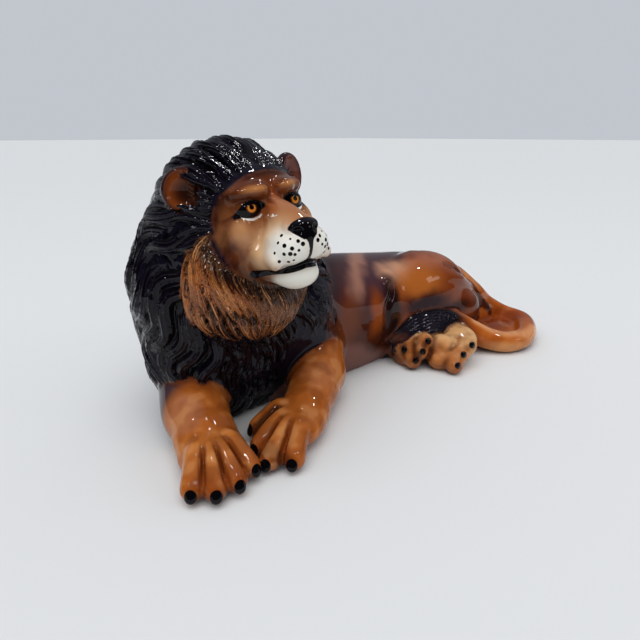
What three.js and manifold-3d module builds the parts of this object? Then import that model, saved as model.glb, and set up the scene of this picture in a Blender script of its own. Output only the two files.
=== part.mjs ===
// A reclining lion in glazed ceramic, slip-cast in one piece with a flat underside.
// The body lies along X with its tail end at +X. The chest bends round, so that the head and
// the right foreleg point to -Y and the left foreleg points to -X. Millimetres, +Z up.
//
// The form is modelled like clay: a signed distance field on a grid takes rounded masses,
// which are blended on or cut away. The field is then turned into one closed skin, thinned to
// a budget of triangles where it is smooth, and cut flat where it meets the floor.
import * as THREE from 'three';
import { mergeVertices } from 'three/addons/utils/BufferGeometryUtils.js';
import { edgeTable, triTable } from 'three/addons/objects/MarchingCubes.js';
import Module from 'manifold-3d';

// Driving dimensions
const CELL = 4.5;                 // grid pitch of the clay
const TRIANGLES = 9400;           // budget for the finished skin
const FLOOR_SINK = 10;            // how far the clay reaches below the floor before it is cut flat
const REACH = { lo: [-60, -60, -FLOOR_SINK], hi: [830, 350, 425] };   // the block of clay
const EYE_LINE = [142, 65.5, 322.5];   // point between the eyes, on the bridge of the nose
const HEAD_YAW = 8;               // degrees past -Y, toward the forepaws
const HEAD_PITCH = 5;             // degrees, nose up
const HEAD_ROLL = 6;              // degrees, the lion's left ear up
const ORIGIN_SHIFT = [-397.6, -149.4, 0];   // puts the origin under the middle of the finished figure

const add3 = (a, b) => [a[0] + b[0], a[1] + b[1], a[2] + b[2]];
const sub3 = (a, b) => [a[0] - b[0], a[1] - b[1], a[2] - b[2]];
const scale3 = (a, s) => [a[0] * s, a[1] * s, a[2] * s];
const dot3 = (a, b) => a[0] * b[0] + a[1] * b[1] + a[2] * b[2];
const cross3 = (a, b) => [a[1] * b[2] - a[2] * b[1], a[2] * b[0] - a[0] * b[2], a[0] * b[1] - a[1] * b[0]];
const length3 = (a) => Math.hypot(a[0], a[1], a[2]);
const unit3 = (a) => scale3(a, 1 / (length3(a) || 1));
const mix = (a, b, t) => a + (b - a) * t;
const mix3 = (a, b, t) => a.map((v, k) => mix(v, b[k], t));
const ramp = (t, from, to) => {
  const u = Math.min(1, Math.max(0, (t - from) / (to - from)));
  return u * u * (3 - 2 * u);
};
// A repeatable jitter from -1 to 1 for the n-th thing.
const jitter = (n) => {
  const s = Math.sin(n * 12.9898) * 43758.5453;
  return 2 * (s - Math.floor(s)) - 1;
};

// A placed set of axes: origin, with forward, side and up directions.
function axes(origin, forward, up = [0, 0, 1]) {
  const f = unit3(forward);
  const s = unit3(cross3(up, f));
  return { o: origin, f, s, u: cross3(f, s) };
}
// Axes that look along -Y, then turned: yaw to -X, pitch nose up, roll to the left side up, in degrees.
function turned(origin, yaw, pitch, roll) {
  const [a, b, c] = [yaw, pitch, roll].map((d) => d * Math.PI / 180);
  const f = [-Math.sin(a) * Math.cos(b), -Math.cos(a) * Math.cos(b), Math.sin(b)];
  const side = [Math.cos(a), -Math.sin(a), 0];
  const up = cross3(f, side);
  return {
    o: origin, f,
    s: add3(scale3(side, Math.cos(c)), scale3(up, Math.sin(c))),
    u: add3(scale3(up, Math.cos(c)), scale3(side, -Math.sin(c))),
  };
}
const at = (ax, f, s, u) =>
  add3(ax.o, add3(scale3(ax.f, f), add3(scale3(ax.s, s), scale3(ax.u, u))));
const toAxes = (ax, p) => [ax.f, ax.s, ax.u].map((v) => dot3(sub3(p, ax.o), v));

// An ellipsoid: centre and half sizes along ax (forward, side, up), turned by yaw (toward the
// side), pitch (front up) and roll (side up), in degrees.
function ball(ax, centre, size, yaw = 0, pitch = 0, roll = 0) {
  const [a1, b1, c1] = [yaw, pitch, roll].map((d) => d * Math.PI / 180);
  const f1 = add3(scale3(ax.f, Math.cos(a1)), scale3(ax.s, Math.sin(a1)));
  const s1 = add3(scale3(ax.s, Math.cos(a1)), scale3(ax.f, -Math.sin(a1)));
  const f2 = add3(scale3(f1, Math.cos(b1)), scale3(ax.u, Math.sin(b1)));
  const u2 = add3(scale3(ax.u, Math.cos(b1)), scale3(f1, -Math.sin(b1)));
  const own = [f2, add3(scale3(s1, Math.cos(c1)), scale3(u2, Math.sin(c1))),
    add3(scale3(u2, Math.cos(c1)), scale3(s1, -Math.sin(c1)))];
  const c = at(ax, ...centre);
  const [ra, rb, rc] = size;
  const half = [0, 1, 2].map((k) => Math.hypot(own[0][k] * ra, own[1][k] * rb, own[2][k] * rc));
  const [a, b, g] = own;
  return {
    lo: sub3(c, half), hi: add3(c, half),
    d(x, y, z) {
      const px = x - c[0], py = y - c[1], pz = z - c[2];
      const u = (px * a[0] + py * a[1] + pz * a[2]) / ra;
      const v = (px * b[0] + py * b[1] + pz * b[2]) / rb;
      const w = (px * g[0] + py * g[1] + pz * g[2]) / rc;
      const k0 = Math.sqrt(u * u + v * v + w * w);
      const k1 = Math.sqrt((u / ra) ** 2 + (v / rb) ** 2 + (w / rc) ** 2);
      return k1 < 1e-9 ? -Math.min(ra, rb, rc) : k0 * (k0 - 1) / k1;
    },
  };
}

// A limb: a round body of changing radius along a smooth curve through points [x, y, z, radius].
function limb(points, steps = 6) {
  const through = points.map((p) => new THREE.Vector3(p[0], p[1], p[2]));
  const along = new THREE.CatmullRomCurve3(through, false, 'centripetal');
  const n = (points.length - 1) * steps;
  const nodes = [];
  for (let i = 0; i <= n; i++) {
    const t = i / n;
    const q = along.getPoint(t);
    const j = Math.min(points.length - 2, Math.floor(t * (points.length - 1)));
    nodes.push([q.x, q.y, q.z, mix(points[j][3], points[j + 1][3], ramp(t * (points.length - 1) - j, 0, 1))]);
  }
  return chain(nodes);
}

// A body of changing radius that runs along X through rows [x, y, z, radius], with round ends.
function barrel(rows) {
  const [first, last] = [rows[0][0], rows[rows.length - 1][0]];
  const row = (i, c) => rows[Math.min(rows.length - 1, Math.max(0, i))][c];
  const middle = (x, c) => {
    const i = Math.min(rows.length - 2, rows.filter((r, k) => k > 0 && r[0] <= x).length);
    const t = (x - row(i, 0)) / (row(i + 1, 0) - row(i, 0));
    const [p, a, b, q] = [row(i - 1, c), row(i, c), row(i + 1, c), row(i + 2, c)];
    return a + 0.5 * t * (b - p + t * (2 * p - 5 * a + 4 * b - q + t * (3 * (a - b) + q - p)));
  };
  const table = new Map();
  const at = (x) => {
    if (!table.has(x)) table.set(x, [middle(x, 1), middle(x, 2), middle(x, 3)]);
    return table.get(x);
  };
  const widest = Math.max(...rows.map((r) => r[3]));
  return {
    lo: [0, 1, 2].map((k) => Math.min(...rows.map((r) => r[k])) - widest),
    hi: [0, 1, 2].map((k) => Math.max(...rows.map((r) => r[k])) + widest),
    d(x, y, z) {
      const on = Math.min(last, Math.max(first, x));
      const [cy, cz, r] = at(on);
      return Math.sqrt((x - on) ** 2 + (y - cy) ** 2 + (z - cz) ** 2) - r;
    },
  };
}

// The same along straight pieces, from nodes [x, y, z, radius].
function chain(nodes) {
  const lo = [0, 1, 2].map((k) => Math.min(...nodes.map((p) => p[k] - p[3])));
  const hi = [0, 1, 2].map((k) => Math.max(...nodes.map((p) => p[k] + p[3])));
  return {
    lo, hi,
    d(x, y, z) {
      let best = 1e9;
      for (let i = 0; i + 1 < nodes.length; i++) {
        const p = nodes[i], q = nodes[i + 1];
        const bx = q[0] - p[0], by = q[1] - p[1], bz = q[2] - p[2];
        const t = Math.min(1, Math.max(0,
          ((x - p[0]) * bx + (y - p[1]) * by + (z - p[2]) * bz) / (bx * bx + by * by + bz * bz)));
        const off = Math.hypot(x - p[0] - t * bx, y - p[1] - t * by, z - p[2] - t * bz);
        best = Math.min(best, off - mix(p[3], q[3], t));
      }
      return best;
    },
  };
}

// The clay: distances on a grid, negative inside.
class Clay {
  constructor(lo, hi, cell) {
    this.lo = lo;
    this.cell = cell;
    this.n = [0, 1, 2].map((k) => Math.ceil((hi[k] - lo[k]) / cell) + 1);
    this.d = new Float32Array(this.n[0] * this.n[1] * this.n[2]).fill(400);
  }

  stamp(shape, margin, join) {
    const { lo, cell, n, d } = this;
    const from = [0, 1, 2].map((k) => Math.max(0, Math.floor((shape.lo[k] - margin - lo[k]) / cell)));
    const to = [0, 1, 2].map((k) => Math.min(n[k] - 1, Math.ceil((shape.hi[k] + margin - lo[k]) / cell)));
    for (let k = from[2]; k <= to[2]; k++) {
      const z = lo[2] + k * cell;
      for (let j = from[1]; j <= to[1]; j++) {
        const y = lo[1] + j * cell;
        let at = (k * n[1] + j) * n[0] + from[0];
        for (let i = from[0]; i <= to[0]; i++, at++) d[at] = join(d[at], shape.d(lo[0] + i * cell, y, z));
      }
    }
  }

  // Lays a mass on, with a fillet of about the blend's width.
  add(shape, blend = 0.01, margin = 0) {
    this.stamp(shape, Math.max(14, 1.4 * blend, margin), (a, b) => {
      const h = Math.max(blend - Math.abs(a - b), 0);
      return Math.min(a, b) - h * h / (4 * blend);
    });
  }

  // Takes a mass away, with its edge rounded by the blend.
  cut(shape, blend = 0.01) {
    this.stamp(shape, Math.max(14, 1.4 * blend), (a, b) => {
      const h = Math.max(blend - Math.abs(a + b), 0);
      return Math.max(a, -b) + h * h / (4 * blend);
    });
  }

  // Closes the clay off at the foot of its block.
  close() {
    this.d.fill(this.cell / 2, 0, this.n[0] * this.n[1]);
  }
}

// Body, haunches and tail. Points are [x, y, z, radius].
const FLOOR = { o: [0, 0, 0], f: [1, 0, 0], s: [0, 1, 0], u: [0, 0, 1] };

function modelTrunk(clay) {
  clay.add(barrel([[250, 205, 125, 88], [390, 214, 104, 96], [510, 216, 90, 94], [610, 210, 82, 88],
    [690, 196, 64, 70]]), 30, 60);
  clay.add(barrel([[230, 205, 40, 66], [400, 218, 36, 74], [520, 226, 34, 74], [680, 196, 26, 62]]), 50, 60);
  clay.add(ball(FLOOR, [570, 163, 92], [122, 68, 95], -8, -6), 12, 50);      // left haunch
  clay.add(ball(FLOOR, [508, 156, 62], [62, 46, 50], -14), 16, 40);          // left knee
  clay.add(ball(FLOOR, [640, 140, 58], [78, 56, 56], -10), 18, 40);          // left buttock
  clay.add(ball(FLOOR, [590, 268, 56], [120, 50, 62]), 30, 40);              // right haunch
  clay.add(limb([[446, 147, 153, 12], [484, 161, 159, 13], [519, 171, 166, 14],
    [556, 175, 170, 14]]), 12, 30);                                          // crest over the haunch
  clay.add(limb([[566, 120, 140, 12], [592, 114, 141, 10], [628, 112, 129, 9], [690, 124, 100, 9],
    [716, 118, 72, 9], [742, 108, 42, 9]]), 9, 30);                          // fold down the buttock
  clay.cut(limb([[592, 122, 164, 3], [612, 119, 157, 5], [640, 121, 142, 5], [676, 126, 118, 3]]), 7);
  clay.cut(limb([[455, 138, 150, 2], [446, 126, 134, 4], [430, 119, 116, 6], [426, 116, 90, 7],
    [432, 120, 54, 5]]), 9);                                                 // crease before the knee
}

// Down behind the buttock, round on the floor, and back up over the hind feet.
const TAIL = [[628, 176, 146, 26], [672, 156, 122, 24], [718, 136, 84, 23], [768, 124, 44, 21],
  [800, 100, 22, 20], [792, 50, 20, 20], [740, 12, 20, 20], [690, -2, 20, 20], [652, 10, 21, 20],
  [628, 36, 28, 21], [607, 60, 42, 22], [588, 90, 56, 24], [562, 112, 60, 28], [530, 126, 56, 31],
  [498, 134, 42, 28], [474, 146, 22, 20], [460, 154, 8, 11]];
// The tuft: a sheaf of strands that sweeps forward from the end of the tail, over both hind feet.
const TUFT = 7;
function modelTuft(clay) {
  for (let i = 0; i < TUFT; i++) {
    const t = i / (TUFT - 1);
    const start = mix3([602, 62, 62], [570, 76, 36], t);
    const crest = mix3([556, 92, 82], [540, 78, 54], t);
    const fall = mix3([498, 112, 82], [490, 88, 48], t);
    const end = add3(mix3([438, 125, 48], [450, 112, 27], t), [6 * Math.sin(5 * t), 0, 0]);
    clay.add(limb([[...start, 7], [...crest, 7.5], [...fall, 7.5], [...mix3(fall, end, 0.6), 7],
      [...end, 3.5]], 5), 1.5);
  }
}
function modelTail(clay) {
  clay.add(limb(TAIL, 8), 9, 30);
  clay.add(ball(FLOOR, [712, 84, 0], [96, 64, 27], -8), 16, 20);             // web inside the loop
  clay.add(ball(FLOOR, [728, 124, 24], [44, 26, 36]), 16, 20);               // web behind the buttock
  modelTuft(clay);
}

// A hind foot lying on its side: toes one above another, each a knuckle and a tip.
function modelHindFoot(clay, { heel, sole, size, lean, tips }) {
  const ax = axes(sole, [sole[0] - heel[0], sole[1] - heel[1], 0]);
  clay.add(ball(ax, [-6, 0, 0], size, 0, 0, lean), 12, 30);
  clay.add(limb([[...heel, 28], [...sole, 24]]), 14, 30);
  tips.forEach((tip) => {
    const root = mix3(sole, tip, 0.2);
    clay.add(chain([[...root, 14], [...mix3(root, tip, 0.7), 16.5], [...tip, 15]]), 4.5);
    clay.add(ball(FLOOR, add3(tip, scale3(unit3([-0.45, -0.8, 0.4]), 14)), [5, 4, 5], 30, 20), 1);   // claw
  });
}
const HIND_FEET = [
  { heel: [526, 158, 32], sole: [487, 106, 27], size: [52, 42, 27], lean: 40,
    tips: [[485, 76, 48], [469, 74, 33], [458, 80, 17], [460, 108, 28]] },
  { heel: [590, 118, 36], sole: [546, 50, 30], size: [50, 42, 26], lean: 38,
    tips: [[540, 21, 42], [517, 22, 30], [497, 19, 16]] },
];
function modelHindFeet(clay) {
  HIND_FEET.forEach((foot) => modelHindFoot(clay, foot));
  clay.add(ball(FLOOR, [502, 48, 18], [29, 22, 19], -20), 9);                // pad between the two
  clay.add(ball(FLOOR, [514, 62, 34], [28, 24, 23]), 7);
}

// Forelegs and paws. Each toe runs from the wrist over a knuckle to its claw.
function modelPaw(clay, { wrist, claws, spread, outward }) {
  const middle = scale3(claws.reduce(add3), 1 / claws.length);
  const ax = axes(wrist, [middle[0] - wrist[0], middle[1] - wrist[1], 0]);
  const reach = length3([middle[0] - wrist[0], middle[1] - wrist[1], 0]);
  clay.add(ball(ax, [reach * 0.44, outward, -8], [reach * 0.58, spread, 25]), 16, 20);
  const aboveToe = (claw, t, height) =>
    [mix(wrist[0], claw[0], t), mix(wrist[1], claw[1], t), height + claw[2] - 12];
  const level = (to) => [to[0] - wrist[0], to[1] - wrist[1], 0];
  claws.forEach((claw) => {
    clay.add(limb([[...aboveToe(claw, 0.24, 27), 12], [...aboveToe(claw, 0.52, 33), 16.5],
      [...aboveToe(claw, 0.75, 26), 14.6], [...aboveToe(claw, 0.93, 16), 15]], 5), 3);
  });
  claws.slice(1).forEach((claw, i) => {
    const gap = mix3(claws[i], claw, 0.5);
    const [x, y] = mix3(wrist, gap, 0.8);
    clay.cut(ball(axes([x, y, 36], level(gap)), [0, 0, 0], [0.23 * reach, 2.4, 11], 0, -24), 6);
  });
  claws.forEach((claw) => {
    clay.add(ball(axes(aboveToe(claw, 0.93, 15), level(claw)), [11, 0, 0], [10, 8.5, 5.5], 0, -56), 1);
  });
}
const PAWS = [
  { wrist: [50, 104, 32], spread: 44, outward: 0,
    claws: [[-16, 22, 12], [4, 3, 12], [32, 0, 13], [60, 11, 15]] },
  { wrist: [194, 66, 32], spread: 43, outward: 3,
    claws: [[114, 80, 16], [91, 44, 13], [82, 10, 12], [106, -10, 12]] },
];

function modelForelegs(clay) {
  clay.add(limb([[104, 236, 84, 52], [80, 190, 54, 46], [60, 146, 42, 46], [48, 104, 32, 41]], 10), 18, 30);
  clay.add(limb([[250, 200, 160, 52], [276, 146, 62, 48], [262, 118, 46, 45], [232, 92, 40, 39],
    [194, 66, 30, 35]], 10), 18, 30);
  PAWS.forEach((paw) => modelPaw(clay, paw));
}

// Head. Its axes: forward to the nose, side to the lion's left, up; the origin is between the eyes.
const HEAD = turned(EYE_LINE, HEAD_YAW, HEAD_PITCH, HEAD_ROLL);

function modelHead(clay) {
  const on = (c, r, blend, yaw, pitch, roll) => clay.add(ball(HEAD, c, r, yaw, pitch, roll), blend, 24);
  on([-64, 0, -8], [66, 64, 64], 8);            // skull
  on([-30, 0, 14], [29, 40, 28], 14);           // forehead
  on([-32, 0, -46], [42, 44, 42], 16);          // jaw and cheeks
  on([27, 0, -14], [48, 16, 17], 10, 0, -19);   // bridge of the nose
  on([34, 0, -42], [42, 32, 27], 16);           // muzzle
  on([8, 0, -76], [42, 36, 19], 10);            // lower jaw
  on([37, 0, -82], [26, 25, 17], 8, 0, 6);      // chin
  for (const side of [-1, 1]) {
    on([-28, side * 31, -45], [30, 35, 34], 14);                           // cheek
    on([4, side * 17, 18], [13, 13, 10], 6, side * 30);                    // inner brow
    on([-9, side * 32, 18], [15, 16, 9.5], 7, side * 50, 0, -side * 10);   // outer brow
    on([-18, side * 36, -26], [28, 18, 22], 14, side * 20);                // cheekbone
    on([53, side * 15, -46], [21, 18, 18], 8, side * 16, 5);               // whisker pad
    on([34, side * 27, -58], [26, 10, 13], 9, side * 22, -4);              // upper lip
    on([2, side * 32, -62], [22, 12, 18], 16, side * 20);                  // corner of the mouth
  }
  on([60, 0, -22.5], [14, 21, 9], 5, 0, -10);   // nose pad
  on([67, 0, -27], [7.5, 13, 9.5], 4);
  for (const side of [-1, 1]) {
    clay.cut(ball(HEAD, [10, side * 30, -2], [16, 15, 9], side * 28, 0, side * 6), 5);   // eye socket
    on([-9, side * 28, -2], [17, 17, 14], 1.5);                                          // eyeball
    clay.cut(ball(HEAD, [74, side * 13, -26], [7, 6, 4], side * 30), 3);                 // nostril
    clay.cut(chain([[...at(HEAD, 13, side * 46, -74), 4], [...at(HEAD, 36, side * 37, -74), 4],
      [...at(HEAD, 62, side * 22, -69), 4], [...at(HEAD, 74, 0, -64), 4]]), 4);          // mouth
  }
  clay.cut(chain([[...at(HEAD, 80, 0, -38), 2], [...at(HEAD, 79, 0, -60), 3]]), 3);      // philtrum
}

const EARS = [{ o: [-72, -76, 27], turn: -30 }, { o: [-78, 75, 25], turn: 30 }];
function modelEars(clay) {
  EARS.forEach(({ o, turn }) => {
    clay.add(ball(HEAD, o, [15, 28, 29], turn), 6, 16);
    const bowl = add3(o, [15 * Math.cos(turn * Math.PI / 180), 15 * Math.sin(turn * Math.PI / 180), 1]);
    clay.cut(ball(HEAD, bowl, [18, 23, 24], turn), 3);
  });
}

// Mane. Its ground is a few rounded masses; locks are laid over it along lines of flow.
const MANE = [
  [[146, 168, 290], [90, 84, 101], 1],       // crown and nape
  [[150, 200, 196], [124, 104, 130], 40],    // neck and shoulders
  [[148, 205, 96], [108, 88, 96], 40],       // chest
  [[232, 205, 172], [72, 80, 84], 40],       // withers
  [[256, 205, 134], [66, 93, 94], 30],       // hair behind the shoulders
  [[134, 116, 226], [80, 62, 84], 20],       // throat
].map(([c, r, blend]) => ({ shape: ball(FLOOR, c, r), blend })).concat([
  { shape: ball(HEAD, [-64, 0, -8], [66, 64, 64]), blend: 14 },   // skull
  { shape: ball(HEAD, [-30, 0, 14], [29, 40, 28]), blend: 14 },   // forehead
]);

const maneDistance = (p) => {
  let d = 1e3;
  for (const { shape, blend } of MANE) {
    const e = shape.d(p[0], p[1], p[2]);
    const h = Math.max(blend - Math.abs(d - e), 0);
    d = Math.min(d, e) - h * h / (4 * blend);
  }
  return d;
};
const maneOut = (p) => unit3([0, 1, 2].map((k) => {
  const a = [...p], b = [...p];
  a[k] -= 2;
  b[k] += 2;
  return maneDistance(b) - maneDistance(a);
}));
// Slides a point along the outward direction until it lies on the mane's ground.
function settle(p) {
  let q = p;
  for (let i = 0; i < 5; i++) q = sub3(q, scale3(maneOut(q), maneDistance(q)));
  return q;
}

const FACE_CENTRE = at(HEAD, -40, 0, -24);
const farFromFace = (p) => length3(sub3(p, FACE_CENTRE));
const radialAt = (p) => {
  const away = sub3(p, FACE_CENTRE);
  return unit3(sub3(away, scale3(HEAD.f, dot3(away, HEAD.f))));
};
// Hair leaves the face all round and turns down as it gets farther from it.
function hairFlow(p) {
  const fall = ramp(farFromFace(p), 80, 230);
  const leaving = unit3(sub3(radialAt(p), scale3(HEAD.f, 0.8)));
  return unit3(add3(scale3(leaving, fall < 1 ? 1 : 0), [0, 0, -1.5 * fall]));
}
// The ruff falls down and back, and a little away from the face.
const ruffFlow = (p) => unit3(add3(scale3(radialAt(p), 0.55), add3(scale3(HEAD.f, -0.45), [0, 0, -1])));

// A lock: a tapering wavy strand laid along the flow from its root. Its wave depends on the
// distance from the face, so that neighbours run side by side.
const WAVE_LENGTH = 72;
function lock(root, { flow = hairFlow, length, width, rise, wave, phase, pieces = 9, sunk = 0.7 }) {
  const nodes = [];
  let p = root;
  for (let k = 0; k <= pieces; k++) {
    const t = k / pieces;
    const out = maneOut(p);
    const girth = width * Math.min(1, 0.55 + 2.2 * t) * Math.sqrt(Math.max(0.02, 1 - ramp(t, 0.45, 1.05)));
    nodes.push([...add3(p, scale3(out, mix(-sunk * width, rise, ramp(t, 0, 0.65)))), girth]);
    const f = flow(p);
    const along = unit3(sub3(f, scale3(out, dot3(f, out))));
    const swing = wave * Math.sin(2 * Math.PI * farFromFace(p) / WAVE_LENGTH + phase);
    p = settle(add3(p, scale3(unit3(add3(along, scale3(cross3(out, along), swing))), length / pieces)));
  }
  return chain(nodes);
}

const MANE_CENTRE = [150, 180, 205];
const GOLDEN = Math.PI * (3 - Math.sqrt(5));
const LOCKS = 460;
const inFace = ([f, s, u]) => f > -70 && Math.hypot(s / 68, (u + 22) / (u > -22 ? 66 : 62)) < 1;
const underRuff = ([f, s, u]) => f > -80 && u < -20 && Math.hypot(s, u + 30) < 104;
const onChest = ([x, y, z]) => y < 128 - 0.3 * Math.abs(x - 140) && z < 205;
function modelLocks(clay) {
  const roots = [];
  for (let i = 0; i < LOCKS; i++) {
    const up = 1 - 2 * (i + 0.5 + 0.3 * jitter(i)) / LOCKS;
    const turn = i * GOLDEN + 0.05 * jitter(i + 500);
    const ring = Math.sqrt(1 - up * up);
    let p = add3(MANE_CENTRE, [150 * ring * Math.cos(turn), 130 * ring * Math.sin(turn), 190 * up]);
    for (let k = 0; k < 6; k++) p = settle(p);
    const onHead = toAxes(HEAD, p);
    if (p[2] < 42 || p[0] > 318 || inFace(onHead) || (!onChest(p) && underRuff(onHead))) continue;
    roots.push({ p, i, order: farFromFace(p) });
  }
  roots.sort((a, b) => b.order - a.order).forEach(({ p, i }) => {
    const crown = ramp(p[2], 290, 350);
    const nape = ramp(p[1], 150, 260);
    clay.add(lock(p, onChest(p)
      ? { length: 50, width: 7, rise: 2, wave: 0.3, phase: jitter(i + 77) }
      : {
        length: mix(122, 112, crown) * (1 + 0.15 * jitter(i + 900)),
        width: mix(9.6, 7.6, crown) * (1 + 0.14 * jitter(i + 300)),
        rise: mix(4, 3, crown) + mix(2.5, 1.5, crown) * jitter(i + 650),
        wave: mix(mix(0.62, 0.25, nape), 0.22, crown),
        phase: 0.5 * jitter(i + 77),
        pieces: 12,
      }), 1.5);
  });
}

// The ruff: three tiers of short pointed strands that fall round the cheeks and under the chin.
const RUFF = 34;
function modelRuff(clay) {
  for (const tier of [2, 1, 0]) {
    for (let i = 0; i < RUFF; i++) {
      const degrees = mix(-186, 10, (i + 0.5 * (tier % 2)) / (RUFF - 1)) + 1.2 * jitter(i + 40 * tier);
      const [c, s] = [Math.cos(degrees * Math.PI / 180), Math.sin(degrees * Math.PI / 180)];
      const away = 1 + 0.15 * tier;
      const root = settle(at(HEAD, -30 - 8 * tier, 66 * away * c, -30 + 64 * away * s));
      const phase = 1.2 + 0.8 * jitter(i + 5 * tier);
      clay.add(lock(root, { flow: ruffFlow, length: 58, width: 6.5, rise: 4.5, wave: 0.25, phase }), 1);
    }
  }
}

// The hairline: a row of locks from the forehead back over the crown, and short ones at the temples.
const HAIRLINE = 15;
const TEMPLE = 5;
function modelHairline(clay) {
  for (let i = 0; i < HAIRLINE; i++) {
    const turn = (mix(136, 42, i / (HAIRLINE - 1)) + 1.5 * jitter(i)) * Math.PI / 180;
    const [c, s] = [Math.cos(turn), Math.sin(turn)];
    const root = settle(at(HEAD, -12 - 26 * c * c, 66 * c, -20 + 62 * s));
    const length = 96 + 14 * jitter(i + 8);
    clay.add(lock(root, { length, width: 7, rise: 3.5, wave: 0.18, phase: 2 * jitter(i), sunk: 0.25 }), 1.5);
  }
  for (const side of [-1, 1]) {
    for (let i = 0; i < TEMPLE; i++) {
      const t = i / (TEMPLE - 1);
      const root = settle(at(HEAD, mix(-40, -32, t), side * mix(64, 74, t), mix(8, -24, t)));
      clay.add(lock(root, { length: 54, width: 5.5, rise: 3, wave: 0.3, phase: i, sunk: 0.4 }), 1.5);
    }
  }
}

// Skin: one closed surface where the distance is zero, by marching through the cells.
function skinOf(clay) {
  const { lo, cell, n, d } = clay;
  const position = [];
  const index = [];
  const seen = new Map();
  const corner = [[0, 0, 0], [1, 0, 0], [1, 1, 0], [0, 1, 0], [0, 0, 1], [1, 0, 1], [1, 1, 1], [0, 1, 1]];
  const edge = [[0, 1], [1, 2], [3, 2], [0, 3], [4, 5], [5, 6], [7, 6], [4, 7],
    [0, 4], [1, 5], [2, 6], [3, 7]];
  const axisOf = [0, 1, 0, 1, 0, 1, 0, 1, 2, 2, 2, 2];
  const stride = [1, n[0], n[0] * n[1]];
  const cells = (n[0] - 1) * (n[1] - 1) * (n[2] - 1);
  for (let cellAt = 0; cellAt < cells; cellAt++) {
    const i = cellAt % (n[0] - 1);
    const j = Math.floor(cellAt / (n[0] - 1)) % (n[1] - 1);
    const k = Math.floor(cellAt / ((n[0] - 1) * (n[1] - 1)));
    const base = k * stride[2] + j * stride[1] + i;
    let kind = 0;
    corner.forEach((c, b) => {
      if (d[base + c[0] + c[1] * stride[1] + c[2] * stride[2]] < 0) kind |= 1 << b;
    });
    if (!edgeTable[kind]) continue;
    const on = edge.map(([a, b], e) => {
      if (!(edgeTable[kind] & (1 << e))) return -1;
      const ca = corner[a], cb = corner[b];
      const at0 = base + ca[0] + ca[1] * stride[1] + ca[2] * stride[2];
      const at1 = base + cb[0] + cb[1] * stride[1] + cb[2] * stride[2];
      const key = at0 * 3 + axisOf[e];
      if (!seen.has(key)) {
        const t = Math.min(0.9, Math.max(0.1, d[at0] / (d[at0] - d[at1])));
        seen.set(key, position.length / 3);
        position.push(...[i, j, k].map((g, x) => lo[x] + cell * (g + mix(ca[x], cb[x], t))));
      }
      return seen.get(key);
    });
    for (let t = kind * 16; triTable[t] !== -1; t += 3) {
      index.push(on[triTable[t]], on[triTable[t + 2]], on[triTable[t + 1]]);
    }
  }
  return { position, index };
}

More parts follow.
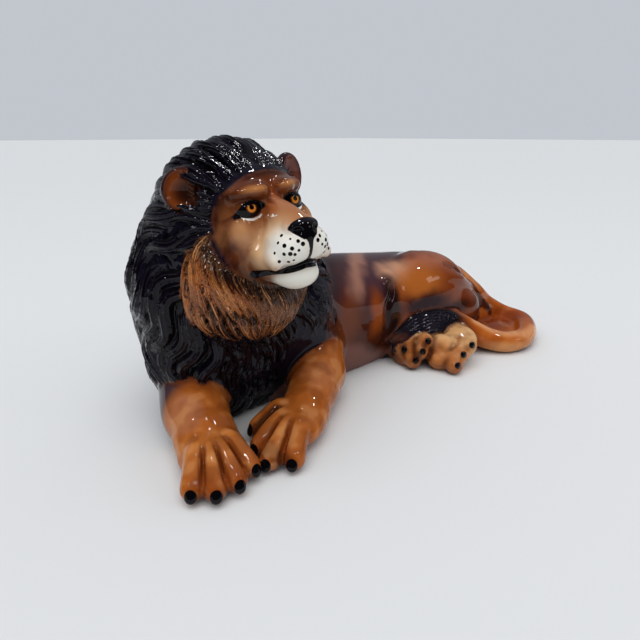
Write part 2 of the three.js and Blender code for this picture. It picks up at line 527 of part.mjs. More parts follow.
// Thins a closed skin to a number of triangles, by closing up the edges that matter least to
// its shape. The error of a place is the sum of squared distances to the planes it replaces.
function thin({ position, index }, target, weightAt) {
  const P = Float64Array.from(position);
  const F = Int32Array.from(index);
  const count = P.length / 3;
  const Q = new Float64Array(count * 10);
  const around = Array.from({ length: count }, () => []);
  const version = new Int32Array(count);
  const gone = new Uint8Array(F.length / 3);
  const point = (v) => [P[v * 3], P[v * 3 + 1], P[v * 3 + 2]];
  const normalOf = (a, b, c) => cross3(sub3(b, a), sub3(c, a));

  for (let f = 0; f < gone.length; f++) {
    const [a, b, c] = [F[f * 3], F[f * 3 + 1], F[f * 3 + 2]];
    const n = normalOf(point(a), point(b), point(c));
    const area = length3(n) / 2;
    const [x, y, z] = unit3(n);
    const w = -dot3([x, y, z], point(a));
    const plane = [x * x, x * y, x * z, x * w, y * y, y * z, y * w, z * z, z * w, w * w];
    for (const v of [a, b, c]) {
      around[v].push(f);
      const share = area * weightAt(point(v)) / 3;
      for (let k = 0; k < 10; k++) Q[v * 10 + k] += share * plane[k];
    }
  }

  const errorAt = (q, [x, y, z]) => q[0] * x * x + q[4] * y * y + q[7] * z * z + q[9]
    + 2 * (q[1] * x * y + q[2] * x * z + q[3] * x + q[5] * y * z + q[6] * y + q[8] * z);
  // The place on the sum of two quadrics with the least error, or the best of the ends and middle.
  function plan(a, b) {
    const q = new Float64Array(10);
    for (let k = 0; k < 10; k++) q[k] = Q[a * 10 + k] + Q[b * 10 + k];
    const [pa, pb] = [point(a), point(b)];
    const span = length3(sub3(pa, pb));
    const r0 = [q[0], q[1], q[2]], r1 = [q[1], q[4], q[5]], r2 = [q[2], q[5], q[7]];
    const det = dot3(r0, cross3(r1, r2));
    let best = scale3(add3(pa, pb), 0.5);
    if (Math.abs(det) > 1e-3 * (q[0] + q[4] + q[7]) ** 3 / 27) {
      const rhs = [-q[3], -q[6], -q[8]];
      const c1 = [r0[0], r1[0], r2[0]], c2 = [r0[1], r1[1], r2[1]], c3 = [r0[2], r1[2], r2[2]];
      const place = [[rhs, c2, c3], [c1, rhs, c3], [c1, c2, rhs]]
        .map(([x, y, z]) => dot3(x, cross3(y, z)) / det);
      if (length3(sub3(place, best)) < span) best = place;
    } else {
      for (const end of [pa, pb]) if (errorAt(q, end) < errorAt(q, best)) best = end;
    }
    const cost = Math.max(0, errorAt(q, best)) + 1e-4 * span ** 4;
    return { cost, best, a, b, va: version[a], vb: version[b] };
  }

  const heap = [];
  const push = (e) => {
    let i = heap.push(e) - 1;
    while (i > 0) {
      const up = (i - 1) >> 1;
      if (heap[up].cost <= e.cost) break;
      heap[i] = heap[up];
      i = up;
    }
    heap[i] = e;
  };
  const pop = () => {
    const top = heap[0], last = heap.pop();
    if (!heap.length) return top;
    let i = 0;
    for (;;) {
      let kid = 2 * i + 1;
      if (kid >= heap.length) break;
      if (kid + 1 < heap.length && heap[kid + 1].cost < heap[kid].cost) kid++;
      if (heap[kid].cost >= last.cost) break;
      heap[i] = heap[kid];
      i = kid;
    }
    heap[i] = last;
    return top;
  };
  const facesOf = (v) => around[v].filter((f) => !gone[f]);
  const cornersOf = (f) => [F[f * 3], F[f * 3 + 1], F[f * 3 + 2]];
  const ringOf = (v) => new Set(facesOf(v).flatMap(cornersOf).filter((o) => o !== v));
  for (let f = 0; f < gone.length; f++) for (let k = 0; k < 3; k++) {
    const a = F[f * 3 + k], b = F[f * 3 + (k + 1) % 3];
    if (a < b) push(plan(a, b));
  }

  // How near a triangle is to having equal sides, from 0 to about 0.87.
  const evenness = (a, b, c) => {
    const longest = Math.max(length3(sub3(a, b)), length3(sub3(b, c)), length3(sub3(c, a)));
    return length3(normalOf(a, b, c)) / (longest * longest);
  };
  // Whether the faces of v that stay keep their way of facing when v moves, and none is drawn thin.
  const keepsFaces = (v, other, best) => facesOf(v).every((f) => {
    const c = cornersOf(f);
    if (c.includes(other)) return true;
    const before = c.map(point);
    const after = c.map((o) => (o === v ? best : point(o)));
    return dot3(unit3(normalOf(...before)), unit3(normalOf(...after))) > 0.3
      && evenness(...after) > Math.min(0.12, 0.8 * evenness(...before));
  });

  let left = gone.length;
  while (left > target && heap.length) {
    const { a, b, best, va, vb } = pop();
    if (version[a] !== va || version[b] !== vb) continue;
    const ringA = ringOf(a), ringB = ringOf(b);
    if ([...ringA].filter((v) => ringB.has(v)).length !== 2) continue;
    if (!keepsFaces(a, b, best) || !keepsFaces(b, a, best)) continue;
    for (const f of facesOf(a)) {
      const c = cornersOf(f);
      if (c.includes(b)) {
        gone[f] = 1;
        left--;
      } else {
        F[f * 3 + c.indexOf(a)] = b;
        around[b].push(f);
      }
    }
    around[a] = [];
    around[b] = facesOf(b);
    for (let k = 0; k < 10; k++) Q[b * 10 + k] += Q[a * 10 + k];
    P.set(best, b * 3);
    version[a]++;
    version[b]++;
    for (const v of ringOf(b)) push(plan(Math.min(v, b), Math.max(v, b)));
  }

  const used = new Map();
  const kept = { position: [], index: [] };
  for (let f = 0; f < gone.length; f++) {
    if (gone[f]) continue;
    for (let k = 0; k < 3; k++) {
      const v = F[f * 3 + k];
      if (!used.has(v)) {
        used.set(v, used.size);
        kept.position.push(...point(v));
      }
      kept.index.push(used.get(v));
    }
  }
  return kept;
}

// The lion
const clay = new Clay(REACH.lo, REACH.hi, CELL);
MANE.forEach(({ shape, blend }) => clay.add(shape, blend, 60));
modelTrunk(clay);
modelHindFeet(clay);
modelTail(clay);
modelForelegs(clay);
modelLocks(clay);
modelRuff(clay);
modelEars(clay);
modelHead(clay);
modelHairline(clay);
clay.close();

const faceFirst = (p) => 1 + 5 * ramp(length3(sub3(p, at(HEAD, 10, 0, -30))), 120, 70);
const skin = thin(skinOf(clay), TRIANGLES, faceFirst);

const wasm = await Module();
wasm.setup();
const solidOf = (position, index) => new wasm.Manifold(new wasm.Mesh({
  numProp: 3,
  vertProperties: Float32Array.from(position),
  triVerts: Uint32Array.from(index),
}));
const floor = new THREE.BoxGeometry(2000, 2000, 100).translate(385, 140, -50);
floor.deleteAttribute('normal').deleteAttribute('uv');
const slab = mergeVertices(floor);
const standing = solidOf(skin.position, skin.index)
  .subtract(solidOf(slab.attributes.position.array, slab.index.array))
  .translate(ORIGIN_SHIFT)
  .getMesh();

const geometry = new THREE.BufferGeometry();
geometry.setAttribute('position', new THREE.BufferAttribute(Float32Array.from(standing.vertProperties), 3));
geometry.setIndex(new THREE.BufferAttribute(Uint32Array.from(standing.triVerts), 1));
geometry.computeVertexNormals();

const glazed = new THREE.MeshStandardMaterial({ name: 'glazed_ceramic', color: 0x7a4526, roughness: 0.12 });
const lion = new THREE.Mesh(geometry, glazed);
lion.name = 'lion';
const group = new THREE.Group();
group.name = 'lion_figure';
group.add(lion);
export default group;
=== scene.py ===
import math

import bpy
import numpy as np
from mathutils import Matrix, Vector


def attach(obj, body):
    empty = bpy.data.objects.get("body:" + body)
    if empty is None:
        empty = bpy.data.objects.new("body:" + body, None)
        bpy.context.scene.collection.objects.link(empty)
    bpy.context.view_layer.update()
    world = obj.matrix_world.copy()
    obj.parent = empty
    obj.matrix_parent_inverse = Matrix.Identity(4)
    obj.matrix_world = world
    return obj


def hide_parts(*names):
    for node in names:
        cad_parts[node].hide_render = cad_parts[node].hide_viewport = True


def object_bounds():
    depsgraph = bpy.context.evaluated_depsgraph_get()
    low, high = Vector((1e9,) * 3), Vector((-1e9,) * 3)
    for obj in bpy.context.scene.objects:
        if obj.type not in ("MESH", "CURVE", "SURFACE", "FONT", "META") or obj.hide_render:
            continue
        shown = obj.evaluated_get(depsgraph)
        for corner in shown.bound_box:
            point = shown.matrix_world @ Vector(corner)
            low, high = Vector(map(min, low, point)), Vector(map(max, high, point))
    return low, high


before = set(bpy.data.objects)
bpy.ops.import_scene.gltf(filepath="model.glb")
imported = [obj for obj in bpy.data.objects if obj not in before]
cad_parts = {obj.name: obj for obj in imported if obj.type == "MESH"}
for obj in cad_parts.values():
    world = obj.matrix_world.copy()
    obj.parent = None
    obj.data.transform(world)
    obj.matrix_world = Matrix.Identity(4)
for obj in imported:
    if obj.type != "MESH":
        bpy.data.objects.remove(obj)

solid_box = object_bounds()

# The clay for the whole figure. The real lion is slip-cast hollow in one piece, so every mass is
# laid into one block here: a grid of distances to the surface, negative inside, in millimetres.
# The block's own origin is on the floor, under the right forepaw.
MM = 0.001
FAR = 400.0
FIGURE_MIDDLE = np.array([397.6, 149.4, 0.0])


def spaced(*stretches):
    """Grid lines along one axis: each stretch (start, end, step) is filled evenly."""
    return np.concatenate([np.arange(*stretch) for stretch in stretches]).astype(np.float32)


lines = [
    spaced((-44, 60, 2.1), (60, 234, 1.5), (234, 330, 2.1), (330, 430, 3.2), (430, 620, 2.2),
           (620, 838, 3.2)),
    spaced((-36, 110, 1.6), (110, 340, 2.3)),
    spaced((-6, 225, 2.1), (225, 412, 1.5)),
]
clay = np.full([len(line) for line in lines], FAR, np.float32)
BARE, MANE, RUFF, EAR, HEAD_SKIN, TUFT, HIND_FOOT, PAW = range(8)
zone = np.zeros(clay.shape, np.uint8)             # which mass the nearest surface belongs to


def block(lo, hi, margin):
    """The part of the grid within margin of a box: its slices, and its x, y and z as open arrays."""
    part = tuple(
        slice(max(0, int(np.searchsorted(line, low - margin)) - 1),
              int(np.searchsorted(line, high + margin)) + 1)
        for line, low, high in zip(lines, lo, hi))
    return part, np.ix_(*(line[cut] for line, cut in zip(lines, part)))


def lay_on(shape, blend, margin=0, kind=BARE):
    """Joins a mass to the clay: min(a, b) - h^2 / 4k, with h = max(k - |a - b|, 0) and k the blend."""
    lo, hi, distance = shape
    part, place = block(lo, hi, max(14, 1.4 * blend, margin))
    old, new = clay[part], distance(*place)
    np.copyto(zone[part], kind, where=new < old)
    h = np.maximum(blend - np.abs(old - new), 0)
    clay[part] = np.minimum(old, new) - h * h / (4 * blend)


def cut_away(shape, blend):
    """Takes a mass out of the clay: max(a, -b) + h^2 / 4k, with h = max(k - |a + b|, 0)."""
    lo, hi, distance = shape
    part, place = block(lo, hi, max(14, 1.4 * blend))
    old, new = clay[part], distance(*place)
    h = np.maximum(blend - np.abs(old + new), 0)
    clay[part] = np.maximum(old, -new) + h * h / (4 * blend)


def unit(v):
    """v / |v| along the last axis."""
    v = np.asarray(v, float)
    return v / np.maximum(np.linalg.norm(v, axis=-1, keepdims=True), 1e-9)


def ramp(t, start, end):
    """Smooth step 3u^2 - 2u^3 from start to end."""
    u = np.clip((t - start) / (end - start), 0, 1)
    return u * u * (3 - 2 * u)


def mix(a, b, t):
    """a + (b - a) t."""
    return a + (b - a) * t


def jitter(n):
    """A repeatable number from -1 to 1 for the n-th thing: 2 frac(43758.5453 sin 12.9898 n) - 1.
    What is added to n where it is called keeps one measure's numbers apart from another's."""
    s = np.sin(np.asarray(n, float) * 12.9898) * 43758.5453
    return 2 * (s - np.floor(s)) - 1


def looking(origin, forward):
    """Level axes at origin whose first direction is forward: rows forward, side, up."""
    f = unit(forward)
    side = unit(np.cross([0, 0, 1], f))
    return np.array(origin, float), np.array([f, side, np.cross(f, side)])


def ball(axes, centre, size, yaw=0, pitch=0, roll=0):
    """An ellipsoid of half sizes s, turned in axes: distance k0 (k0 - 1) / k1, with
    k0 = |p / s| and k1 = |p / s^2|."""
    origin, (f, s, u) = axes
    a, b, c = np.radians([yaw, pitch, roll])
    f1, s1 = f * math.cos(a) + s * math.sin(a), s * math.cos(a) - f * math.sin(a)
    f2, u2 = f1 * math.cos(b) + u * math.sin(b), u * math.cos(b) - f1 * math.sin(b)
    own = np.array([f2, s1 * math.cos(c) + u2 * math.sin(c), u2 * math.cos(c) - s1 * math.sin(c)])
    middle = origin + np.asarray(centre, float) @ axes[1]
    size = np.asarray(size, float)
    half = np.linalg.norm(own * size[:, None], axis=0)

    def distance(x, y, z):
        x, y, z = x - middle[0], y - middle[1], z - middle[2]
        k0 = k1 = 0
        for (i, j, k), r in zip(own, size):
            along = (x * i + y * j + z * k) / r
            k0 = k0 + along * along
            k1 = k1 + (along / r) ** 2
        k0 = np.sqrt(k0)
        return (k0 * (k0 - 1) / np.maximum(np.sqrt(k1), 1e-6)).astype(np.float32)

    return middle - half, middle + half, distance


def chain(nodes):
    """A tapered round body through nodes [x, y, z, radius]: the least of its pieces' distances
    |p - c(t)| - r(t)."""
    nodes = np.asarray(nodes, float)

    def distance(x, y, z):
        best = np.full(np.broadcast_shapes(x.shape, y.shape, z.shape), 60, np.float32)
        rims = [np.ravel(line) for line in (x, y, z)]
        for a, b in zip(nodes[:-1], nodes[1:]):
            low = np.minimum(a[:3] - a[3], b[:3] - b[3]) - 60
            high = np.maximum(a[:3] + a[3], b[:3] + b[3]) + 60
            near = tuple(slice(*np.searchsorted(rim, (p, q))) for rim, p, q in zip(rims, low, high))
            px, py, pz = x[near[0]] - a[0], y[:, near[1]] - a[1], z[:, :, near[2]] - a[2]
            run = b[:3] - a[:3]
            t = np.clip((px * run[0] + py * run[1] + pz * run[2]) / (run @ run), 0, 1)
            off = np.sqrt((px - t * run[0]) ** 2 + (py - t * run[1]) ** 2 + (pz - t * run[2]) ** 2)
            np.minimum(best[near], off - a[3] - t * (b[3] - a[3]), out=best[near])
        return best

    return (nodes[:, :3] - nodes[:, 3:]).min(0), (nodes[:, :3] + nodes[:, 3:]).max(0), distance


def along_curve(points, steps=6):
    """Nodes along a smooth curve (centripetal Catmull-Rom) through points [x, y, z, radius]."""
    points = np.asarray(points, float)
    through = np.vstack([2 * points[0] - points[1], points, 2 * points[-1] - points[-2]])[:, :3]
    nodes = []
    for i in range((len(points) - 1) * steps + 1):
        j = min(len(points) - 2, i // steps)
        t = i / steps - j
        p0, p1, p2, p3 = through[j:j + 4]
        d0, d1, d2 = (max(1e-4, np.linalg.norm(q - p)) ** 0.5 for p, q in ((p0, p1), (p1, p2), (p2, p3)))
        m1 = d1 * ((p1 - p0) / d0 - (p2 - p0) / (d0 + d1) + (p2 - p1) / d1)
        m2 = d1 * ((p2 - p1) / d1 - (p3 - p1) / (d1 + d2) + (p3 - p2) / d2)
        place = p1 + t * (m1 + t * (3 * (p2 - p1) - 2 * m1 - m2 + t * (2 * (p1 - p2) + m1 + m2)))
        nodes.append([*place, mix(points[j, 3], points[j + 1, 3], ramp(t, 0, 1))])
    return np.array(nodes)


def limb(points, steps=6):
    """A chain along a smooth curve through points [x, y, z, radius]."""
    return chain(along_curve(points, steps))


def barrel(rows):
    """A body with round ends that runs along X through rows [x, y, z, radius], whose middle and
    radius follow uniform Catmull-Rom curves of x."""
    rows = np.asarray(rows, float)
    padded = np.vstack([rows[0], rows, rows[-1]])

    def distance(x, y, z):
        on = np.clip(x, rows[0, 0], rows[-1, 0])
        i = np.clip(np.searchsorted(rows[:, 0], on[:, 0, 0], side="right") - 1, 0, len(rows) - 2)
        t = ((on[:, 0, 0] - rows[i, 0]) / (rows[i + 1, 0] - rows[i, 0]))[:, None]
        p, a, b, q = (padded[i + k, 1:] for k in range(4))
        curve = a + 0.5 * t * (b - p + t * (2 * p - 5 * a + 4 * b - q + t * (3 * (a - b) + q - p)))
        cy, cz, r = (curve[:, k, None, None].astype(np.float32) for k in range(3))
        return np.sqrt((x - on) ** 2 + (y - cy) ** 2 + (z - cz) ** 2) - r

    widest = rows[:, 3].max()
    return rows[:, :3].min(0) - widest, rows[:, :3].max(0) + widest, distance


# The ground of the mane and the trunk. Under the hair the head, neck, shoulders and chest are
# rounded masses run together, and the trunk is a long barrel that lies on a wider one.
EYE_LINE = np.array([142, 65.5, 322.5])           # on the bridge of the nose, between the eyes
HEAD_YAW, HEAD_PITCH, HEAD_ROLL = np.radians([8, 5, 6])   # toward the paws, nose up, left ear up
FLOOR = np.zeros(3), np.eye(3)

head_forward = np.array([-math.sin(HEAD_YAW) * math.cos(HEAD_PITCH),
                         -math.cos(HEAD_YAW) * math.cos(HEAD_PITCH), math.sin(HEAD_PITCH)])
level_side = np.array([math.cos(HEAD_YAW), -math.sin(HEAD_YAW), 0])
level_up = np.cross(head_forward, level_side)
HEAD = EYE_LINE, np.array([
    head_forward,
    level_side * math.cos(HEAD_ROLL) + level_up * math.sin(HEAD_ROLL),
    level_up * math.cos(HEAD_ROLL) - level_side * math.sin(HEAD_ROLL),
])
mane_ground = [(ball(FLOOR, centre, size), blend) for centre, size, blend in (
    ([146, 168, 290], [90, 84, 101], 1),          # crown and nape
    ([150, 200, 196], [124, 104, 130], 40),       # neck and shoulders
    ([148, 205, 96], [108, 88, 96], 40),          # chest
    ([232, 205, 172], [72, 80, 84], 40),          # withers
    ([256, 205, 134], [66, 93, 94], 30),          # behind the shoulders
    ([134, 116, 226], [80, 62, 84], 20),          # throat
)]
mane_ground += [(ball(HEAD, [-64, 0, -8], [66, 64, 64]), 14), (ball(HEAD, [-30, 0, 14], [29, 40, 28]), 14)]
for mass, blend in mane_ground:
    lay_on(mass, blend, 60, MANE)

lay_on(barrel([[250, 205, 125, 88], [390, 214, 104, 96], [510, 216, 90, 94], [610, 210, 82, 88],
               [690, 196, 64, 70]]), 30, 60)
lay_on(barrel([[230, 205, 40, 66], [400, 218, 36, 74], [520, 226, 34, 74], [680, 196, 26, 62]]), 50, 60)

# The haunches and hind feet. The left haunch is folded on the flank with its foot drawn forward,
# and the right hind foot comes out beneath it. Toes lie one above another, each with its claw.
lay_on(ball(FLOOR, [570, 163, 92], [122, 68, 95], -8, -6), 12, 50)
lay_on(ball(FLOOR, [508, 156, 62], [62, 46, 50], -14), 16, 40)
lay_on(ball(FLOOR, [640, 140, 58], [78, 56, 56], -10), 18, 40)
lay_on(ball(FLOOR, [590, 268, 56], [120, 50, 62]), 30, 40)

lay_on(limb([[446, 147, 153, 12], [484, 161, 159, 13], [519, 171, 166, 14], [556, 175, 170, 14]]), 12, 30)
lay_on(limb([[566, 120, 140, 12], [592, 114, 141, 10], [628, 112, 129, 9], [690, 124, 100, 9],
             [716, 118, 72, 9], [742, 108, 42, 9]]), 9, 30)
cut_away(limb([[592, 122, 164, 3], [612, 119, 157, 5], [640, 121, 142, 5], [676, 126, 118, 3]]), 7)
cut_away(limb([[455, 138, 150, 2], [446, 126, 134, 4], [430, 119, 116, 6], [426, 116, 90, 7],
               [432, 120, 54, 5]]), 9)

hind_feet = (
    dict(heel=(526, 158, 32), sole=(487, 106, 27), size=(52, 42, 27), lean=40,
         tips=((485, 76, 48), (469, 74, 33), (458, 80, 17), (460, 108, 28))),
    dict(heel=(590, 118, 36), sole=(546, 50, 30), size=(50, 42, 26), lean=38,
         tips=((540, 21, 42), (517, 22, 30), (497, 19, 16))),
)
hind_claws = []
for foot in hind_feet:
    heel, sole = np.array(foot["heel"], float), np.array(foot["sole"], float)
    axes = looking(sole, (sole - heel) * [1, 1, 0])
    lay_on(ball(axes, [-6, 0, 0], foot["size"], roll=foot["lean"]), 12, 30, HIND_FOOT)
    lay_on(limb([[*heel, 28], [*sole, 24]]), 14, 30, HIND_FOOT)
    for tip in np.array(foot["tips"], float):
        root = mix(sole, tip, 0.2)
        lay_on(chain([[*root, 14], [*mix(root, tip, 0.7), 16.5], [*tip, 15]]), 4.5, kind=HIND_FOOT)
        claw = tip + 14 * unit([-0.45, -0.8, 0.4])
        lay_on(ball(FLOOR, claw, [5, 4, 5], 30, 20), 1, kind=HIND_FOOT)
        hind_claws.append(claw)
lay_on(ball(FLOOR, [502, 48, 18], [29, 22, 19], -20), 9, kind=HIND_FOOT)    # pad between the two feet
lay_on(ball(FLOOR, [514, 62, 34], [28, 24, 23]), 7, kind=HIND_FOOT)

# The tail. It drops behind the buttock, runs round on the floor and comes back up over the hind
# feet, where it ends in a tuft. The loop is closed by a web of clay, as in any slip casting.
tail = [[628, 176, 146, 26], [672, 156, 122, 24], [718, 136, 84, 23], [768, 124, 44, 21],
        [800, 100, 22, 20], [792, 50, 20, 20], [740, 12, 20, 20], [690, -2, 20, 20], [652, 10, 21, 20],
        [628, 36, 28, 21], [607, 60, 42, 22], [588, 90, 56, 24], [562, 112, 60, 28], [530, 126, 56, 31],
        [498, 134, 42, 28], [474, 146, 22, 20], [460, 154, 8, 11]]
lay_on(limb(tail, 12), 9, 30, TUFT)
lay_on(ball(FLOOR, [712, 84, 0], [96, 64, 27], -8), 16, 20, TUFT)
lay_on(ball(FLOOR, [728, 124, 24], [44, 26, 36]), 16, 20, TUFT)

# The forelegs and paws. Each leg comes out of the mane and lies along the floor, and each of its
# four toes is a knuckle, a pad and a short claw.
lay_on(limb([[104, 236, 84, 52], [80, 190, 54, 46], [60, 146, 42, 46], [48, 104, 32, 41]], 14), 18, 30, PAW)
lay_on(limb([[250, 200, 160, 52], [276, 146, 62, 48], [262, 118, 46, 45], [232, 92, 40, 39],
             [194, 66, 30, 35]], 14), 18, 30, PAW)
paws = (
    dict(wrist=(50, 104, 32), spread=44, outward=0,
         claws=((-16, 22, 12), (4, 3, 12), (32, 0, 13), (60, 11, 15))),
    dict(wrist=(194, 66, 32), spread=43, outward=3,
         claws=((114, 80, 16), (91, 44, 13), (82, 10, 12), (106, -10, 12))),
)
claw_places = []


def above_toe(wrist, claw, share, height):
    """A point over the line from wrist to claw, at that share of it and that height."""
    return np.array([*mix(wrist, claw, share)[:2], height + claw[2] - 12])


for paw in paws:
    wrist, claws = np.array(paw["wrist"], float), np.array(paw["claws"], float)
    toward = (claws.mean(0) - wrist) * [1, 1, 0]
    reach = np.linalg.norm(toward)
    axes = looking(wrist, toward)
    lay_on(ball(axes, [reach * 0.44, paw["outward"], -8], [reach * 0.58, paw["spread"], 25]), 16, 20, PAW)
    for claw in claws:
        toe = [[*above_toe(wrist, claw, share, height), radius] for share, height, radius in (
            (0.24, 27, 12), (0.52, 33, 16.5), (0.75, 26, 14.6), (0.93, 16, 15))]
        lay_on(limb(toe, 5), 3, kind=PAW)
    for claw, next_claw in zip(claws[:-1], claws[1:]):
        gap = mix(claw, next_claw, 0.5)
        groove = looking(mix(wrist, gap, 0.8) * [1, 1, 0] + [0, 0, 36], (gap - wrist) * [1, 1, 0])
        cut_away(ball(groove, [0, 0, 0], [0.23 * reach, 2, 10], pitch=-24), 6)
    for claw in claws:
        toe_end = looking(above_toe(wrist, claw, 0.93, 15), (claw - wrist) * [1, 1, 0])
        lay_on(ball(toe_end, [11, 0, 0], [10, 8.5, 5.5], pitch=-56), 1, kind=PAW)
        claw_places.append(toe_end)

# The mane. Long wavy locks are laid over its ground, from the chest and nape up to the face, and
# each lock is combed into a few strands. Hair leaves the face all round and then turns down.
FACE_CENTRE = EYE_LINE + np.array([-40, 0, -24]) @ HEAD[1]
MANE_CENTRE = np.array([150, 180, 205])
WAVE_LENGTH = 72
LOCKS = 460
lock_run = np.zeros(clay.shape, np.float32)       # how far along its lock the nearest surface is
lock_across = np.zeros(clay.shape, np.float32)    # how far beside its lock's middle line, in strands
lock_tint = np.zeros(clay.shape, np.float32)      # a number from -1 to 1 for its lock


def mane_distance(p):
    """The ground's distance at points p, its masses joined as lay_on joins them."""
    d = np.full(len(p), 1e3)
    for (_, _, distance), blend in mane_ground:
        e = distance(p[:, 0], p[:, 1], p[:, 2]).astype(float)
        h = np.maximum(blend - np.abs(d - e), 0)
        d = np.minimum(d, e) - h * h / (4 * blend)
    return d


def mane_out(p):
    """The direction away from the ground: the gradient of its distance."""
    steps = 2 * np.eye(3)
    return unit(np.stack([mane_distance(p + step) - mane_distance(p - step) for step in steps], -1))


def settle(p):
    """Slides points along the outward direction until they lie on the ground."""
    for _ in range(5):
        p = p - mane_out(p) * mane_distance(p)[:, None]
    return p


def off_face(p):
    """From the face's centre to points p, and the same as a direction in the face's own plane."""
    away = p - FACE_CENTRE
    return away, unit(away - (away @ HEAD[1][0])[:, None] * HEAD[1][0])


def hair_flow(p):
    """Away from the face near it, and turning down from 80 to 230 mm off."""
    away, radial = off_face(p)
    fall = ramp(np.linalg.norm(away, axis=1), 80, 230)[:, None]
    return unit(unit(radial * (1 - fall) - 0.8 * (1 - fall) * HEAD[1][0]) + fall * [0, 0, -1.5])


def ruff_flow(p):
    """Away from the face near it, then down and in under the chin."""
    away, radial = off_face(p)
    turned = ramp(np.linalg.norm(away, axis=1), 66, 116)[:, None]
    inward = -np.clip((away @ HEAD[1][1])[:, None] / 70, -1, 1) * HEAD[1][1]
    return unit(mix(0.9, 0.2, turned) * radial + 1.2 * turned * inward - 0.35 * HEAD[1][0] + [0, 0, -1])


def grow(flow_at, roots, length, width, rise, wave, phase, pieces=9, sunk=0.7):
    """Middle lines of tapering wavy locks, all at once: each step follows the flow along the ground,
    swung sideways by wave sin(2 pi d / WAVE_LENGTH + phase), with d the distance from the face, so
    that neighbours run side by side. Gives nodes [x, y, z, radius] and outward directions."""
    length, width, rise, wave, phase = (
        measure + np.zeros(len(roots)) for measure in (length, width, rise, wave, phase))
    p, nodes, outs = roots, [], []
    for t in np.linspace(0, 1, pieces + 1):
        out = mane_out(p)
        girth = width * min(1, 0.55 + 2.2 * t) * math.sqrt(max(0.02, 1 - ramp(t, 0.45, 1.05)))
        lift = mix(-sunk * width, rise, ramp(t, 0, 0.65))
        nodes.append(np.column_stack([p + out * lift[:, None], girth]))
        outs.append(out)
        flow = flow_at(p)
        along = unit(flow - (flow * out).sum(1)[:, None] * out)
        distance = np.linalg.norm(p - FACE_CENTRE, axis=1)
        swing = wave * np.sin(distance * (2 * math.pi / WAVE_LENGTH) + phase)
        p = settle(p + unit(along + np.cross(out, along) * swing[:, None]) * (length / pieces)[:, None])
    return np.stack(nodes, 1), np.stack(outs, 1)


def lay_lock(nodes, outs, tint, blend, kind, strand, depth):
    """Joins one lock to the clay, combed into strands: depth (1 - cos(2 pi w / strand)) / 2 is taken
    off its radius, w being the distance beside its middle line."""
    lo, hi = (nodes[:, :3] - nodes[:, 3:]).min(0), (nodes[:, :3] + nodes[:, 3:]).max(0)
    part, place = block(lo, hi, 12)
    best = np.full(clay[part].shape, 50, np.float32)
    run_at, across_at = np.zeros_like(best), np.zeros_like(best)
    for i, (a, b) in enumerate(zip(nodes[:-1], nodes[1:])):
        near, (x, y, z) = block(np.minimum(a - a[3], b - b[3])[:3], np.maximum(a + a[3], b + b[3])[:3], 12)
        inner = tuple(slice(max(n.start - w.start, 0), n.stop - w.start) for n, w in zip(near, part))
        x, y, z = (line[tuple(slice(max(w.start - n.start, 0), None) if k == axis else slice(None)
                              for k in range(3))]
                   for axis, (line, n, w) in enumerate(zip((x, y, z), near, part)))
        run = b[:3] - a[:3]
        side = unit(np.cross(outs[i], run))
        px, py, pz = x - a[0], y - a[1], z - a[2]
        t = np.clip((px * run[0] + py * run[1] + pz * run[2]) / (run @ run), 0, 1)
        ox, oy, oz = px - t * run[0], py - t * run[1], pz - t * run[2]
        across = (ox * side[0] + oy * side[1] + oz * side[2]).astype(np.float32)
        radius = a[3] + t * (b[3] - a[3])
        comb = depth * (0.5 - 0.5 * np.cos(across * (2 * math.pi / strand))) * ramp(radius, 1, 5)
        new = (np.sqrt(ox * ox + oy * oy + oz * oz) - radius + comb).astype(np.float32)
        nearer = new < best[inner]
        np.copyto(best[inner], new, where=nearer)
        np.copyto(across_at[inner], across / np.float32(strand), where=nearer)
        np.copyto(run_at[inner], ((i + t) / (len(nodes) - 1)).astype(np.float32), where=nearer)
    old = clay[part]
    nearer = best < old
    np.copyto(zone[part], kind, where=nearer)
    np.copyto(lock_run[part], run_at, where=nearer)
    np.copyto(lock_across[part], across_at, where=nearer)
    np.copyto(lock_tint[part], tint, where=nearer)
    h = np.maximum(blend - np.abs(old - best), 0)
    clay[part] = np.minimum(old, best) - h * h / (4 * blend)


def lay_locks(locks, seed, blend, kind, strand, depth):
    """Joins grown locks to the clay in turn, each with its own tint."""
    for nodes, outs, tint in zip(*locks, jitter(seed)):
        lay_lock(nodes, outs, tint, blend, kind, strand, depth)


def spread_out(count):
    """Roots over the whole ground, evenly turned and spaced, and their numbers."""
    seed = np.arange(count)
    up = 1 - 2 * (seed + 0.5 + 0.3 * jitter(seed)) / count
    turn = seed * math.pi * (3 - math.sqrt(5)) + 0.05 * jitter(seed + 500)
    ring = np.sqrt(1 - up * up)
    roots = MANE_CENTRE + np.column_stack([150 * ring * np.cos(turn), 130 * ring * np.sin(turn), 190 * up])
    for _ in range(6):
        roots = settle(roots)
    return roots, seed


def far_first(roots, seed):
    """The same roots, the farthest from the face first, so that each lock overlaps those below it."""
    order = np.argsort(-np.linalg.norm(roots - FACE_CENTRE, axis=1), kind="stable")
    return roots[order], seed[order]


def in_face(roots):
    """True inside the face's outline, out to the hairline and the edge of the cheeks."""
    forward, side, above = ((roots - EYE_LINE) @ HEAD[1].T).T
    return (forward > -70) & (np.hypot(side / 68, (above + 22) / np.where(above > -22, 66, 62)) < 1)


def under_ruff(roots):
    """True round the cheeks and chin, where the ruff's own strands grow."""
    forward, side, above = ((roots - EYE_LINE) @ HEAD[1].T).T
    return (forward > -80) & (above < -20) & (np.hypot(side, above + 30) < 104)


def on_chest(roots):
    """True on the front of the chest, below the ruff."""
    x, y, z = roots.T
    return (y < 128 - np.where(x < 140, 0.3, 0.08) * np.abs(x - 140)) & (z < 205)


